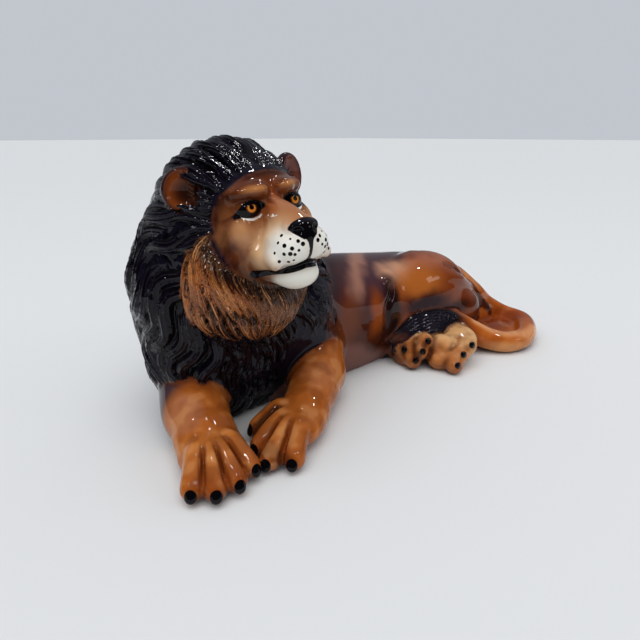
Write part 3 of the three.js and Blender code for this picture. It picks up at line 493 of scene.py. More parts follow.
roots, seed = spread_out(LOCKS)
kept = (roots[:, 2] >= 42) & (roots[:, 0] <= 318) & ~in_face(roots) & ~on_chest(roots) & ~under_ruff(roots)
roots, seed = far_first(roots[kept], seed[kept])
crown = ramp(roots[:, 2], 290, 350)
locks = grow(
    hair_flow, roots,
    length=mix(122, 112, crown) * (1 + 0.15 * jitter(seed + 900)),
    width=mix(9.6, 7.6, crown) * (1 + 0.14 * jitter(seed + 300)),
    rise=mix(4, 3, crown) + mix(2.5, 1.5, crown) * jitter(seed + 650),
    wave=mix(mix(0.62, 0.25, ramp(roots[:, 1], 150, 260)), 0.22, crown),
    phase=0.5 * jitter(seed + 77),
    pieces=12,
)
lay_locks(locks, seed + 21, 1.5, MANE, strand=5.6, depth=1.3)

# The chest. Below the ruff its hair is short and fine, modelled in small locks that are laid on from
# the ruff down.
CHEST_LOCKS = 1500                                # as many as would cover the whole ground
roots, seed = spread_out(CHEST_LOCKS)
kept = on_chest(roots) & ~in_face(roots) & (roots[:, 2] > 40)
roots, seed = (row[::-1] for row in far_first(roots[kept], seed[kept]))     # the nearest first
locks = grow(hair_flow, roots, length=40, width=4.6 + 0.8 * jitter(seed), rise=2.5, wave=0.4,
             phase=1.2 * jitter(seed + 77), pieces=6)
lay_locks(locks, seed + 21, 1, MANE, strand=4.6, depth=0.8)

# The ruff. Three tiers of fine pointed strands of clay fall round the cheeks and meet under the
# chin. The outermost tier is laid on first, and the one next to the face last.
RUFF_STRANDS = 82


def round_face(forward, left, up):
    """Roots at places on the head's own axes, settled on the ground."""
    return settle(EYE_LINE + np.column_stack(np.broadcast_arrays(forward, left, up)) @ HEAD[1])


for tier in (2, 1, 0):
    seed = np.arange(RUFF_STRANDS)
    turn = np.radians(mix(-186, 10, (seed + 0.5 * (tier % 2)) / (RUFF_STRANDS - 1))
                      + 1.2 * jitter(seed + 40 * tier))
    away = 1 + 0.15 * tier
    roots = round_face(-30 - 8 * tier, 66 * away * np.cos(turn), -30 + 64 * away * np.sin(turn))
    length = mix(52, 72, np.abs(np.cos(turn))) + 10 * jitter(seed + 9 * tier)
    locks = grow(ruff_flow, roots, length, width=4.6 + 0.8 * jitter(seed + 3), rise=6.5, wave=0.3,
                 phase=0.3 * jitter(seed + 5 * tier))
    lay_locks(locks, seed + 13 * tier, 0.8, RUFF, strand=4.6, depth=0.9)

# The tuft. Thick strands of clay, painted black, sweep forward from the end of the tail over both
# hind feet and end in points.
TUFT_STRANDS = 8
for number, t in enumerate(np.linspace(0, 1, TUFT_STRANDS)):
    start = mix(np.array([602, 62, 62]), np.array([570, 76, 36]), t)
    crest = mix(np.array([556, 92, 82]), np.array([540, 78, 54]), t)
    fall = mix(np.array([498, 112, 82]), np.array([490, 88, 48]), t)
    end = mix(np.array([438, 125, 48]), np.array([450, 112, 27]), t) + [6 * math.sin(5 * t), 0, 0]
    line = along_curve([[*start, 6.5], [*crest, 7.5], [*fall, 7.5], [*mix(fall, end, 0.6), 7],
                        [*end, 2.5]], 5)
    lay_lock(line, np.tile(unit([-0.2, -0.8, 0.6]), (len(line), 1)), jitter(number), 1, TUFT,
             strand=6.4, depth=1.3)


# The ears. They are rounded cups that stand out of the mane, turned a little outwards and hollowed
# from the front, with a few wisps of hair at their roots.
def head_points(*rows):
    """Nodes [forward, left, up, radius] on the head as nodes of the clay."""
    rows = np.array(rows, float)
    return np.column_stack([EYE_LINE + rows[:, :3] @ HEAD[1], rows[:, 3]])


ears = (([-72, -76, 27], -30), ([-78, 75, 25], 30))
for centre, turn in ears:
    lay_on(ball(HEAD, centre, [15, 28, 29], turn), 6, 16, EAR)
    hollow_at = centre + np.array([15 * math.cos(math.radians(turn)), 15 * math.sin(math.radians(turn)), 1])
    cut_away(ball(HEAD, hollow_at, [18, 25, 26], turn), 2.5)
    for rise in (-21, -15, -9, -3):
        root = np.array(centre) + [6, -15 * np.sign(centre[1]), rise]
        lay_on(chain(head_points([*root, 3.5], [*(root + [4, 7 * np.sign(centre[1]), 5]), 3],
                                 [*(root + [2, 16 * np.sign(centre[1]), 13]), 1])), 1, kind=EAR)


# The head. The skull, brows, bridge, muzzle, jaw and cheeks are laid on in turn, and the eye
# sockets, nostrils and mouth are cut in with soft edges.
def on_head(centre, size, blend, yaw=0, pitch=0, roll=0):
    """Lays a ball on the head, in its own axes: forward, left, up."""
    lay_on(ball(HEAD, centre, size, yaw, pitch, roll), blend, 24, HEAD_SKIN)


on_head([-64, 0, -8], [66, 64, 64], 8)            # skull
on_head([-30, 0, 14], [29, 40, 28], 14)           # forehead
on_head([-32, 0, -46], [42, 44, 42], 16)          # jaw
on_head([27, 0, -14], [48, 16, 17], 10, 0, -19)   # bridge of the nose
on_head([34, 0, -42], [42, 32, 27], 16)           # muzzle
on_head([8, 0, -76], [42, 36, 19], 10)            # lower jaw
on_head([37, 0, -82], [26, 25, 17], 8, 0, 6)      # chin
for side in (-1, 1):
    on_head([-28, side * 31, -45], [30, 35, 34], 14)                           # cheek
    on_head([4, side * 17, 18], [13, 13, 10], 8, side * 30)                    # inner brow
    on_head([-10, side * 32, 17], [15, 16, 9.5], 9, side * 50, 0, -side * 10)  # outer brow
    on_head([-18, side * 36, -26], [28, 18, 22], 14, side * 20)                # cheekbone
    on_head([53, side * 15, -46], [21, 18, 18], 8, side * 16, 5)               # whisker pad
    on_head([34, side * 27, -58], [26, 10, 13], 9, side * 22, -4)              # upper lip
    on_head([2, side * 32, -62], [22, 12, 18], 16, side * 20)                  # corner of the mouth
on_head([60, 0, -22.5], [14, 21, 9], 5, 0, -10)   # nose pad
on_head([67, 0, -27], [7.5, 13, 9.5], 4)
for side in (-1, 1):
    cut_away(ball(HEAD, [10, side * 30, -2], [16, 15, 9], side * 28, 0, side * 6), 5)   # eye socket
    on_head([-9, side * 28, -2], [17, 17, 14], 1.5)                                     # eyeball
    cut_away(ball(HEAD, [74, side * 13, -26], [7, 6, 4], side * 30), 3)                 # nostril
    cut_away(chain(head_points([13, side * 46, -74, 4], [36, side * 37, -74, 4],
                               [62, side * 22, -69, 4], [74, 0, -64, 4])), 4)           # mouth
cut_away(chain(head_points([80, 0, -38, 2], [79, 0, -60, 3])), 3)                       # philtrum

# The hairline. A row of locks starts along the top of the forehead and is combed back over the
# crown, where it covers the roots of the mane.
HAIRLINE_LOCKS = 16
seed = np.arange(HAIRLINE_LOCKS)
turn = np.radians(np.linspace(137, 37, HAIRLINE_LOCKS) + 1.5 * jitter(seed))
roots = round_face(-12 - 26 * np.cos(turn) ** 2, 66 * np.cos(turn), -20 + 58 * np.sin(turn))
locks = grow(hair_flow, roots, length=96 + 14 * jitter(seed + 8), width=7, rise=3.5, wave=0.18,
             phase=2 * jitter(seed), sunk=0.25)
lay_locks(locks, seed + 21, 1.5, MANE, strand=4.6, depth=1.1)

# The temples. Short locks run back from beside the brows and from the edge of the cheeks, in front
# of each ear and below it.
TEMPLE_LOCKS = 9
seed = np.arange(2 * TEMPLE_LOCKS)
share, side = (seed % TEMPLE_LOCKS) / (TEMPLE_LOCKS - 1), np.where(seed < TEMPLE_LOCKS, -1, 1)
roots = round_face(mix(-36, -30, share), side * mix(57, 71, share), mix(17, -30, share))
locks = grow(hair_flow, roots, length=mix(20, 54, ramp(share, 0.2, 0.6)), width=5.5, rise=3, wave=0.3,
             phase=seed % TEMPLE_LOCKS, sunk=0.4)
lay_locks(locks, seed + 4, 1.5, MANE, strand=4, depth=1)


# The skin. The clay's surface becomes one closed mesh, flat where it stands on the floor. It is
# thinned where it is smooth, and its normals are taken from the clay, so that the glaze runs true.
def skin(field):
    """Surface nets: one vertex in each cell that the surface crosses, at the mean of the crossings
    on its edges, and one quad round each grid edge that the surface crosses."""
    inside = field < 0
    counts = np.zeros([n - 1 for n in field.shape], np.uint8)
    corners = [(a, b, c) for a in (0, 1) for b in (0, 1) for c in (0, 1)]
    for a, b, c in corners:
        counts += inside[a:a + counts.shape[0], b:b + counts.shape[1], c:c + counts.shape[2]]
    cell = np.array(np.nonzero((counts > 0) & (counts < 8)))
    number = np.full(counts.shape, -1, np.int32)
    number[tuple(cell)] = np.arange(cell.shape[1])
    total, crossings = np.zeros((cell.shape[1], 3)), np.zeros(cell.shape[1])
    for axis in range(3):
        step = np.eye(3, dtype=int)[axis]
        for corner in corners:
            if corner[axis]:
                continue
            start = cell + np.array(corner)[:, None]
            d0, d1 = field[tuple(start)], field[tuple(start + step[:, None])]
            crossed = (d0 < 0) != (d1 < 0)
            t = np.where(crossed, d0 / np.where(crossed, d0 - d1, 1), 0)
            for k in range(3):
                at = lines[k][start[k]]
                if k == axis:
                    at = at + t * (lines[k][start[k] + 1] - at)
                total[:, k] += np.where(crossed, at, 0)
            crossings += crossed
    points = total / crossings[:, None]

    quads = []
    for axis in range(3):
        b, c = (axis + 1) % 3, (axis + 2) % 3
        low = [slice(1, -1)] * 3
        low[axis] = slice(0, -1)
        high = list(low)
        high[axis] = slice(1, None)
        crossed = inside[tuple(low)] != inside[tuple(high)]
        edge = np.array(np.nonzero(crossed))
        outward = inside[tuple(low)][tuple(edge)]
        edge += np.array([0 if k == axis else 1 for k in range(3)])[:, None]
        round_it = []
        for back_b, back_c in ((1, 1), (0, 1), (0, 0), (1, 0)):
            at = edge.copy()
            at[b] -= back_b
            at[c] -= back_c
            round_it.append(number[tuple(at)])
        quad = np.stack(round_it, 1)
        quads.append(np.where(outward[:, None], quad, quad[:, ::-1]))
    return points, np.concatenate(quads)


def sample(grid, p):
    """The grid's value at points p, by trilinear interpolation between its lines."""
    low, share = [], []
    for line, x in zip(lines, p.T):
        i = np.clip(np.searchsorted(line, x) - 1, 0, len(line) - 2)
        low.append(i)
        share.append(np.clip((x - line[i]) / (line[i + 1] - line[i]), 0, 1))
    value = np.zeros(len(p))
    for a in (0, 1):
        for b in (0, 1):
            for c in (0, 1):
                weight = ((share[0] if a else 1 - share[0]) * (share[1] if b else 1 - share[1])
                          * (share[2] if c else 1 - share[2]))
                value += weight * grid[low[0] + a, low[1] + b, low[2] + c]
    return value


def gradient(grid, p):
    """Differences of the grid over REACH to each side, 2 REACH times its gradient."""
    steps = REACH * np.eye(3)
    return np.stack([sample(grid, p + step) - sample(grid, p - step) for step in steps], -1)


def mesh_of(name, points, faces):
    """A mesh from whole arrays of points, in millimetres from under the figure's middle, and faces."""
    mesh = bpy.data.meshes.new(name)
    mesh.vertices.add(len(points))
    mesh.vertices.foreach_set("co", (points * MM).astype(np.float32).ravel())
    mesh.loops.add(faces.size)
    mesh.loops.foreach_set("vertex_index", faces.astype(np.int32).ravel())
    mesh.polygons.add(len(faces))
    mesh.polygons.foreach_set("loop_start", np.arange(0, faces.size, faces.shape[1], dtype=np.int32))
    mesh.update(calc_edges=True)
    mesh.validate()
    return mesh


REACH = 1.2
FLAT_BELOW = 0.3                                  # a face that reaches no higher lies on the floor
SKIN_TRIANGLES = 192000
standing = np.maximum(clay, -lines[2])
points, quads = skin(standing)
for _ in range(2):                                # eased Newton steps onto the clay's surface
    slope = gradient(standing, points)
    off = sample(standing, points) / np.maximum((slope ** 2).sum(1), 0.5)
    points -= 0.8 * slope * off[:, None] * 2 * REACH
points[:, 2] = np.maximum(points[:, 2], 0)
fine = mesh_of("fine skin", points - FIGURE_MIDDLE, quads)
draft = bpy.data.objects.new("draft", fine)
bpy.context.scene.collection.objects.link(draft)
thinner = draft.modifiers.new("thin", "DECIMATE")
thinner.ratio = SKIN_TRIANGLES / (2 * len(quads))
bpy.context.view_layer.update()
thinned = bpy.data.meshes.new_from_object(draft.evaluated_get(bpy.context.evaluated_depsgraph_get()))
thinned.name = "lion skin"
bpy.data.objects.remove(draft)
lion = bpy.data.objects.new("glazed_lion", thinned)
bpy.context.scene.collection.objects.link(lion)

where = np.empty(len(thinned.vertices) * 3, np.float32)      # becomes each vertex's place in the clay
thinned.vertices.foreach_get("co", where)
where = where.reshape(-1, 3) / MM + FIGURE_MIDDLE
where = np.clip(where, *(np.array(corner) / MM + FIGURE_MIDDLE for corner in solid_box))
thinned.vertices.foreach_set("co", ((where - FIGURE_MIDDLE) * MM).astype(np.float32).ravel())
outward = unit(gradient(clay, where))
corner_of = np.empty(len(thinned.loops), np.int32)
thinned.loops.foreach_get("vertex_index", corner_of)
sides = np.empty(len(thinned.polygons), np.int32)
thinned.polygons.foreach_get("loop_total", sides)
on_floor = np.maximum.reduceat(where[corner_of, 2], np.r_[0, np.cumsum(sides)[:-1]]) < FLAT_BELOW
normals = np.where(np.repeat(on_floor, sides)[:, None], [0, 0, -1], outward[corner_of])
thinned.polygons.foreach_set("use_smooth", np.ones(len(thinned.polygons), bool))
thinned.normals_split_custom_set(normals.tolist())

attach(lion, "root")
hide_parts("lion")


# The paint. Colours are sprayed and brushed on before glazing: purple-brown along the back, orange
# brown on the haunch and paws, cream on the muzzle, and near black on the mane. Some of it is
# painted light: painted shade in hollows, in creases and under overhangs, and painted highlights
# and reflections on tops, crests and strands.
def tone(r, g, b):
    """A colour given as a painter would match it, 0 to 255, as linear light."""
    c = np.array([r, g, b]) / 255
    return np.where(c <= 0.04045, c / 12.92, ((c + 0.055) / 1.055) ** 2.4)


paint = np.tile(tone(112, 58, 36), (len(where), 1))
x, y, z = where.T
on_face = (where - EYE_LINE) @ HEAD[1].T
ahead, left, above = on_face.T
aside = np.abs(left)
just_off = where + 1.5 * outward
hollow = np.clip(1 - sample(clay, where + 5 * outward) / 5, 0, 1)      # 0 in the open, 1 in a deep groove


def layers(mask, *rows):
    """Lays colours over the paint in turn, within a mask, from rows of (how thickly, colour)."""
    for cover, colour in rows:
        paint[:] = mix(paint, tone(*colour), np.clip(mask * cover, 0, 1)[:, None])


def in_zone(kind):
    """How far each point belongs to the masses of one kind, 0 to 1."""
    return sample((zone == kind).astype(np.float32), just_off)


def spray(points, centre, size, edge=0.5):
    """A soft round patch: full within 1 - edge of its half sizes, gone at 1 + edge."""
    k = np.linalg.norm((points - centre) / size, axis=1)
    return 1 - ramp(k, 1 - edge, 1 + edge)


def beside(points, path):
    """Distance from points to a path of straight pieces through [x, y, z, half width]."""
    best = np.full(len(points), 1e3)
    path = np.array(path, float)
    for a, b in zip(path[:-1], path[1:]):
        run = b[:3] - a[:3]
        t = np.clip((points - a[:3]) @ run / (run @ run), 0, 1)
        off = np.linalg.norm(points - a[:3] - t[:, None] * run, axis=1)
        best = np.minimum(best, off - mix(a[3], b[3], t))
    return best


def stroke(points, soft, *path):
    """A brushed line through [x, y, z, half width], fading out over soft beside it."""
    return 1 - ramp(beside(points, path), 0, soft)


# The tail is orange brown and darkens to the black tuft. A light streak along its outer edge is a
# painted highlight, and painted shade darkens its bottom next to the floor.
tail_zone = in_zone(TUFT)
black_end = ramp(x, 606, 572)
layers(
    tail_zone,
    (1, (172, 94, 38)),
    (0.9 * spray(where, [716, 84, 0], [74, 50, 36], 0.3), (110, 44, 20)),      # web inside the loop
    (0.7 * spray(where, [660, 4, 14], [90, 30, 14], 0.6), (214, 158, 104)),
    (0.7 * spray(where, [780, 50, 30], [30, 60, 16], 0.6), (136, 58, 24)),
    (0.6 * spray(where, [700, 140, 118], [40, 30, 24], 0.5), (196, 132, 82)),
    # Painted highlight: a light streak along the outer edge of the loop.
    (0.7 * stroke(where, 12, [612, 50, 64, 4], [640, 16, 42, 4], [690, -14, 30, 5], [740, -4, 30, 4]),
     (216, 160, 114)),
    # Painted shade along the bottom of the tail, next to the floor.
    (0.6 * ramp(z, 16, 6) * ramp(x, 640, 700), (122, 58, 28)),
    (black_end, (20, 14, 20)),
    (0.7 * spray(where, [470, 124, 50], [26, 20, 10], 0.6), (120, 66, 32)),
)

# The hind feet are tan, browner on the upper one, with dark marks between the toes. Painted
# shade fills their hollows and a crease between the toes of the right hind foot.
hind = in_zone(HIND_FOOT)
layers(
    hind,
    (1, (208, 164, 116)),
    (0.8 * ramp(x + 0.6 * y, 550, 515), (164, 92, 38)),
    (0.6 * spray(where, [560, 30, 20], [40, 30, 24], 0.5), (170, 106, 54)),
    (0.7 * ramp(y, 52, 66) * ramp(z, 44, 20), (128, 70, 34)),
    (0.85 * stroke(where, 7, [478, 66, 52, 2], [460, 64, 42, 2], [450, 68, 24, 2], [470, 88, 56, 3]),
     (70, 36, 20)),
    # Painted shade in the hollows between the toes.
    (ramp(hollow, 0.08, 0.4), (84, 44, 24)),
    (stroke(where, 8, [465, 108, 42, 3], [452, 98, 32, 4]), (46, 26, 20)),
    # Painted shade along a crease between the toes of the right hind foot.
    (0.8 * stroke(where, 4, [532, 36, 57, 1], [518, 30, 47, 1.5], [506, 30, 33, 1], [498, 32, 20, 1]),
     (140, 80, 38)),
)

# The forelegs are orange brown, wiped lighter over the wrists, and darker round the claws and up
# into the hair. Painted highlights light the tops of the knuckles and toes, and painted shade
# darkens the toes' lower sides and the grooves between them.
fore = in_zone(PAW)
toes = np.maximum(1 - ramp(np.hypot(x - 25, y - 10), 26, 54), 1 - ramp(np.hypot(x - 95, y - 25), 24, 52))
layers(
    fore,
    (1, (168, 98, 44)),
    # Painted highlight over the tops of the knuckles.
    (0.7 * (1 - ramp(np.abs(np.hypot(x - 50, y - 104) - 62), 4, 26)) * ramp(z, 30, 50), (196, 126, 66)),
    (0.8 * toes, (138, 70, 28)),
    # Painted highlight on the tops of the toes.
    (0.6 * toes * ramp(z, 24, 46), (198, 132, 74)),
    # Painted shade on the lower sides of the toes.
    (0.8 * toes * (1 - ramp(z, 10, 26)), (104, 52, 26)),
    (0.75 * spray(where, [24, 108, 66], [26, 30, 28], 0.2), (168, 112, 80)),
    (0.7 * spray(where, [224, 70, 70], [30, 30, 26], 0.2), (176, 112, 70)),
    (ramp(y, 128, 160) * (1 - ramp(x, 140, 170)), (66, 42, 48)),
    (ramp(y, 165, 195), (22, 16, 20)),
    (ramp(z, 82, 104) * ramp(x, 140, 170), (96, 56, 40)),
    # Painted shade in the grooves between the toes.
    (0.85 * ramp(hollow, 0.05, 0.35), (120, 64, 30)),
    (0.6 * ramp(hollow, 0.5, 0.9), (168, 94, 44)),
    (0.8 * stroke(where, 9, [140, 67, 46, 2], [116, 68, 36, 3], [106, 72, 22, 3]), (52, 28, 20)),
    (0.7 * stroke(where, 10, [88, 16, 30, 5], [100, -10, 16, 5]), (76, 38, 20)),
)

# The mane is blue black, the ruff tan over dark roots, and the ears are brown cups with dark rims.
# Painted shade darkens the hollows of the mane and ruff, the ruff under the chin and the deep middle
# of each ear's bowl. face_rim is 1 on the face's outline and less inside it.
hair = in_zone(MANE)
mirrored = np.column_stack([ahead, aside, above])
face_rim = np.where(above > -24, np.hypot(aside / 67, (above + 24) / 63),
                    ((aside / 71) ** 2.4 + (np.abs(above + 24) / 76) ** 2.4) ** (1 / 2.4))
bare_face = (1 - ramp(face_rim, 0.95, 1.02)) * ramp(ahead, -62, -50)
black_hair = hair * (1 - bare_face)
along_lock, shade = sample(lock_run, just_off), sample(lock_tint, just_off)
layers(
    black_hair,
    (1, (14, 11, 17)),
    (0.8 * ramp(shade, -0.6, 1) * (1 - ramp(hollow, 0.1, 0.4)), (25, 21, 34)),
    # Painted shade in the hollows between the locks.
    (ramp(hollow, 0.2, 0.6), (8, 6, 9)),
)
ruff = in_zone(RUFF)
layers(
    ruff,
    (1, (158, 90, 42)),
    (0.6 * ramp(shade, 0.3, 0.9), (214, 152, 94)),
    (0.8 * ramp(-shade, 0, 0.7), (86, 44, 26)),
    # Painted shade on the ruff under the chin.
    (0.6 * (1 - ramp(np.abs(left + 14), 30, 56)) * ramp(above, -70, -95), (70, 38, 24)),
    # Painted shade in the ruff's hollows.
    (ramp(hollow, 0.15, 0.5), (40, 22, 15)),
    ((1 - ramp(along_lock, 0.25, 0.7)) * (1 - ramp(face_rim, 1.2, 1.6)), (22, 15, 18)),
    (0.75 * spray(on_face, [0, 50, -120], [90, 40, 40], 0.5), (46, 26, 22)),
    (0.8 * ramp(along_lock, 0.8, 1), (96, 50, 28)),
)
ear = in_zone(EAR)
layers(ear, (1, (48, 30, 34)))
for (centre, _), bowl, depth in zip(ears, ((150, 80, 36), (126, 78, 66)), ((40, 22, 19), (70, 42, 38))):
    lower = np.array(centre) + [0, -4 * np.sign(centre[1]), -3]
    layers(ear,
           (spray(on_face, np.array(centre) + [2, 0, 0], [18, 24, 25], 0.15), bowl),
           # Painted shade deep in each ear's bowl.
           (0.9 * spray(on_face, lower, [30, 17, 16], 0.6), depth))

# The face is brown, darker at its edge and mauve on the forehead, orange on the brows and cream on
# the muzzle and chin, with fine brown strokes on the cheeks and beside the nose. Painted shade lies
# under the brows and in the crease between them, and a painted highlight along the brows' tops.
bare_skin = np.maximum(in_zone(HEAD_SKIN), hair) * bare_face
from_ahead = mirrored * [0, 1, 1]
layers(
    bare_skin,
    (1, (164, 110, 72)),
    (0.8 * spray(mirrored, [0, 0, -2], [40, 13, 26], 0.5), (172, 118, 90)),    # bridge of the nose
    (0.9 * spray(mirrored, [-22, 56, 4], [30, 22, 20], 0.4), (140, 76, 32)),   # temples
    (ramp(above, 22, 34), (136, 88, 74)),
    (ramp(above, 33, 42), (88, 56, 56)),
    (0.9 * spray(mirrored, [4, 22, 17], [24, 24, 10], 0.4), (168, 98, 46)),    # brows
    (0.7 * spray(mirrored, [0, 0, 18], [26, 8, 12], 0.5), (166, 78, 26)),
    (0.7 * spray(mirrored, [14, 14, -8], [20, 8, 14], 0.5), (150, 82, 38)),    # inner corners of the eyes
    (0.6 * spray(mirrored, [24, 22, -30], [12, 5, 20], 0.6), (150, 92, 52)),
    (0.9 * ramp(face_rim, 0.42, 0.78), (92, 50, 30)),
    (ramp(face_rim, 0.84, 0.98), (58, 30, 20)),
    (0.7 * spray(mirrored, [-6, 52, -30], [34, 24, 16], 0.6), (128, 80, 52)),
    (0.9 * stroke(mirrored, 7, [-12, 61, -24, 1], [-10, 65, -46, 5], [-2, 57, -40, 1]), (72, 40, 28)),
    (0.85 * stroke(mirrored, 12, [-12, 74, -54, 6], [-2, 66, -66, 6], [4, 54, -79, 3]), (64, 34, 24)),
    (0.6 * spray(mirrored, [6, 48, -26], [16, 9, 14], 0.7), (206, 156, 112)),
    (0.7 * stroke(mirrored, 6, [28, 20, -14, 1], [46, 22, -22, 1.5], [60, 23, -28, 1]), (140, 92, 66)),
    # Painted shade under the brows, over the upper lids.
    (0.8 * spray(mirrored, [0, 27, 9], [30, 19, 4.5], 0.6), (84, 44, 26)),     # under the brows
    # Painted highlight along the tops of the brows.
    (0.6 * spray(mirrored, [0, 22, 21], [30, 15, 4], 0.7), (214, 152, 98)),    # on the brows
    # Painted shade in the crease between the brows.
    (0.8 * stroke(from_ahead, 3, [0, 4, 26, 0.6], [0, 5.5, 12, 1.4], [0, 9, 4, 0.6]), (104, 50, 26)),
    (0.6 * spray(mirrored, [-16, 40, 26], [30, 16, 7], 0.6), (128, 70, 38)),
    (0.8 * spray(mirrored, [42, 22, -44], [34, 34, 30], 0.5), (226, 192, 152)),     # sides of the muzzle
    (spray(mirrored, [57, 16, -46], [32, 27, 23], 0.38), (230, 226, 216)),     # whisker pads
    (spray(mirrored, [46, 0, -88], [32, 36, 19], 0.2), (228, 224, 212)),       # chin
    (0.8 * stroke(from_ahead, 2, [0, 46, 18, 0.4], [0, 36, 26, 1.2], [0, 28, 28, 1.2], [0, 18, 27, 1],
                  [0, 8, 23, 0.4]), (96, 48, 26)),
    (0.8 * stroke(from_ahead, 2, [0, 63, -13, 0.6], [0, 54, -10, 1], [0, 44, -7, 0.8]), (80, 42, 26)),
)


NOWHERE = 60                                      # a distance at which nothing is drawn


def drawn(rows, behind=-24):
    """Distance to a line brushed on the face through [to the side, up, half width], seen from ahead
    and only in front of the plane behind."""
    return np.where(ahead > behind, beside(from_ahead, [(0, *row) for row in rows]), NOWHERE)


# The parts drawn last, in millimetres from their edges, negative inside. The black is the eyes'
# surround, the lips, the nose and the claws; then come the white lower lids and the black upper ones.
eye_edge = drawn([[14, 3, 1.5], [18, 1, 5.5], [25, -0.5, 9.4], [32, -2, 9.8], [39, -4.5, 6],
                  [45, -7, 2.4], [53, -10.5, 0.8]])
lips = drawn([[42, -74.5, 5.2], [36, -73, 4], [28, -72, 3.2], [20, -71, 3.6], [11, -68, 5],
              [0, -65.5, 5.8]], -4)
nose = 11 * (np.linalg.norm((on_face - [72, 0, -25]) / [14, 24, 12], axis=1) - 1)
nose = np.maximum(nose, 0.7 * (aside - above - 44))
nose = np.minimum(nose, drawn([[0, -34, 6], [0, -40, 3.2], [0, -48, 2.2], [0, -60, 2]]))
nose = np.where(ahead > 50, nose, NOWHERE)
claws = np.full(len(where), 1e3)
for origin, axes in claw_places:
    in_toe = (where - origin) @ axes.T - [13.5, 0, 0]
    claws = np.minimum(claws, 8 * (np.linalg.norm(in_toe / [7.5, 7.4, 9.2], axis=1) - 1))
for claw in hind_claws:
    claws = np.minimum(claws, np.linalg.norm(where - claw, axis=1) - 6)
ink = np.minimum(np.minimum(eye_edge, lips), np.minimum(nose, claws))
lid_line = drawn([[43.4, -8.8, 0.5], [37.5, -11.6, 1.2], [28.8, -13.3, 1.5], [20.1, -12, 1.3],
                  [15.5, -8.8, 0.7]])
upper_lid = drawn([[17, 2.5, 1.6], [23, 5.6, 2.2], [30, 6.4, 2.5], [37, 4, 2], [42, -0.5, 1.2]])


def keep(name, values):
    """Stores a number or a vector for each vertex, for the glaze to read."""
    flat = values.ndim == 1
    layer = thinned.attributes.new(name, "FLOAT" if flat else "FLOAT_VECTOR", "POINT")
    layer.data.foreach_set("value" if flat else "vector", values.astype(np.float32).ravel())


painted = thinned.color_attributes.new("paint", "FLOAT_COLOR", "POINT")
painted.data.foreach_set("color", np.column_stack([paint, np.ones(len(paint))]).astype(np.float32).ravel())
keep("ink", ink)
keep("lid line", lid_line)
keep("upper lid", upper_lid)
# A painted highlight on top of the black nose.
keep("painted nose highlight", 0.8 * (1 - ramp(nose, -3, -1)) * ramp(above, -21, -17) * ramp(ahead, 74, 66))
keep("on face", on_face)
keep("strand", np.column_stack([sample(lock_across, just_off), along_lock, shade]))
keep("hair", np.maximum(black_hair, tail_zone * black_end))
keep("ruff", ruff)
keep("painted", 1 - in_zone(BARE))
wiped = np.maximum(np.maximum(fore * ramp(y, 150, 120), hind), 0.5 * tail_zone * ramp(x, 590, 620))
keep("wiped", wiped * (1 - ramp(hollow, 0.1, 0.5))
     + 0.4 * bare_skin * spray(mirrored, [-10, 46, -36], [60, 24, 40], 0.4))

# The glaze. One clear coat is fired over the whole figure. The paint beneath it is dull, so that
# all the gloss is the coat's own.
glaze = bpy.data.materials.new("clear glaze over paint")
glaze.use_nodes = True
tree = glaze.node_tree
coat = tree.nodes["Principled BSDF"]
coat.inputs["Roughness"].default_value = 0.45
coat.inputs["Specular IOR Level"].default_value = 0.0
coat.inputs["Coat Weight"].default_value = 1.0
coat.inputs["Coat Roughness"].default_value = 0.03
coat.inputs["Coat IOR"].default_value = 1.38


def node(kind, *links, **settings):
    """A node in tree: links are its inputs in order, sockets or constants, None left alone."""
    made = tree.nodes.new(kind)
    for key, value in settings.items():
        setattr(made, key, value)
    for i, link in enumerate(links):
        if isinstance(link, bpy.types.NodeSocket):
            tree.links.new(link, made.inputs[i])
        elif link is not None:
            made.inputs[i].default_value = link
    return made


def maths(operation, *links):
    """The result of one sum on numbers."""
    return node("ShaderNodeMath", *links, operation=operation).outputs[0]


def vector(operation, *links, output=0):
    """The result of one sum on vectors: a vector, or a number with output 1."""
    return node("ShaderNodeVectorMath", *links, operation=operation).outputs[output]


def noise(place, scale):
    """A noise texture of two octaves at a place."""
    made = node("ShaderNodeTexNoise", place)
    made.inputs["Scale"].default_value, made.inputs["Detail"].default_value = scale, 1
    return made.outputs


def smooth(value, start, end):
    """A socket's smooth step from 0 at start to 1 at end, where start may be the larger."""
    return node("ShaderNodeMapRange", value, start, end, 0.0, 1.0,
                interpolation_type="SMOOTHSTEP").outputs[0]


def inside(distance, soft):
    """1 where a distance is negative, 0 where it is positive, with a soft edge."""
    return smooth(distance, soft, -soft)


def all_of(*masks):
    """The product of masks, sockets or constants."""
    product = masks[0]
    for mask in masks[1:]:
        product = maths("MULTIPLY", product, mask)
    return product


def over(colour, *rows):
    """A colour with others laid over it in turn, from rows of (mask, colour). Each is a socket or a
    painter's red, green and blue, and goes into the Mix node's seventh or eighth input."""
    for mask, layer in rows:
        a, b = (c if isinstance(c, bpy.types.NodeSocket) else (*tone(*c), 1) for c in (colour, layer))
        colour = node("ShaderNodeMix", mask, *[None] * 5, a, b, data_type="RGBA").outputs[2]
    return colour


def stored(name, output="Fac"):
    """What keep has stored under a name."""
    return node("ShaderNodeAttribute", attribute_name=name).outputs[output]


def sprayed(centre, size, edge=0.5, strength=1.0):
    """A soft round patch on the body: full within 1 - edge of its half sizes, gone at 1 + edge."""
    off = vector("LENGTH", vector("DIVIDE", vector("SUBTRACT", on_clay, centre), size), output=1)
    return all_of(smooth(off, 1 + edge, 1 - edge), strength)


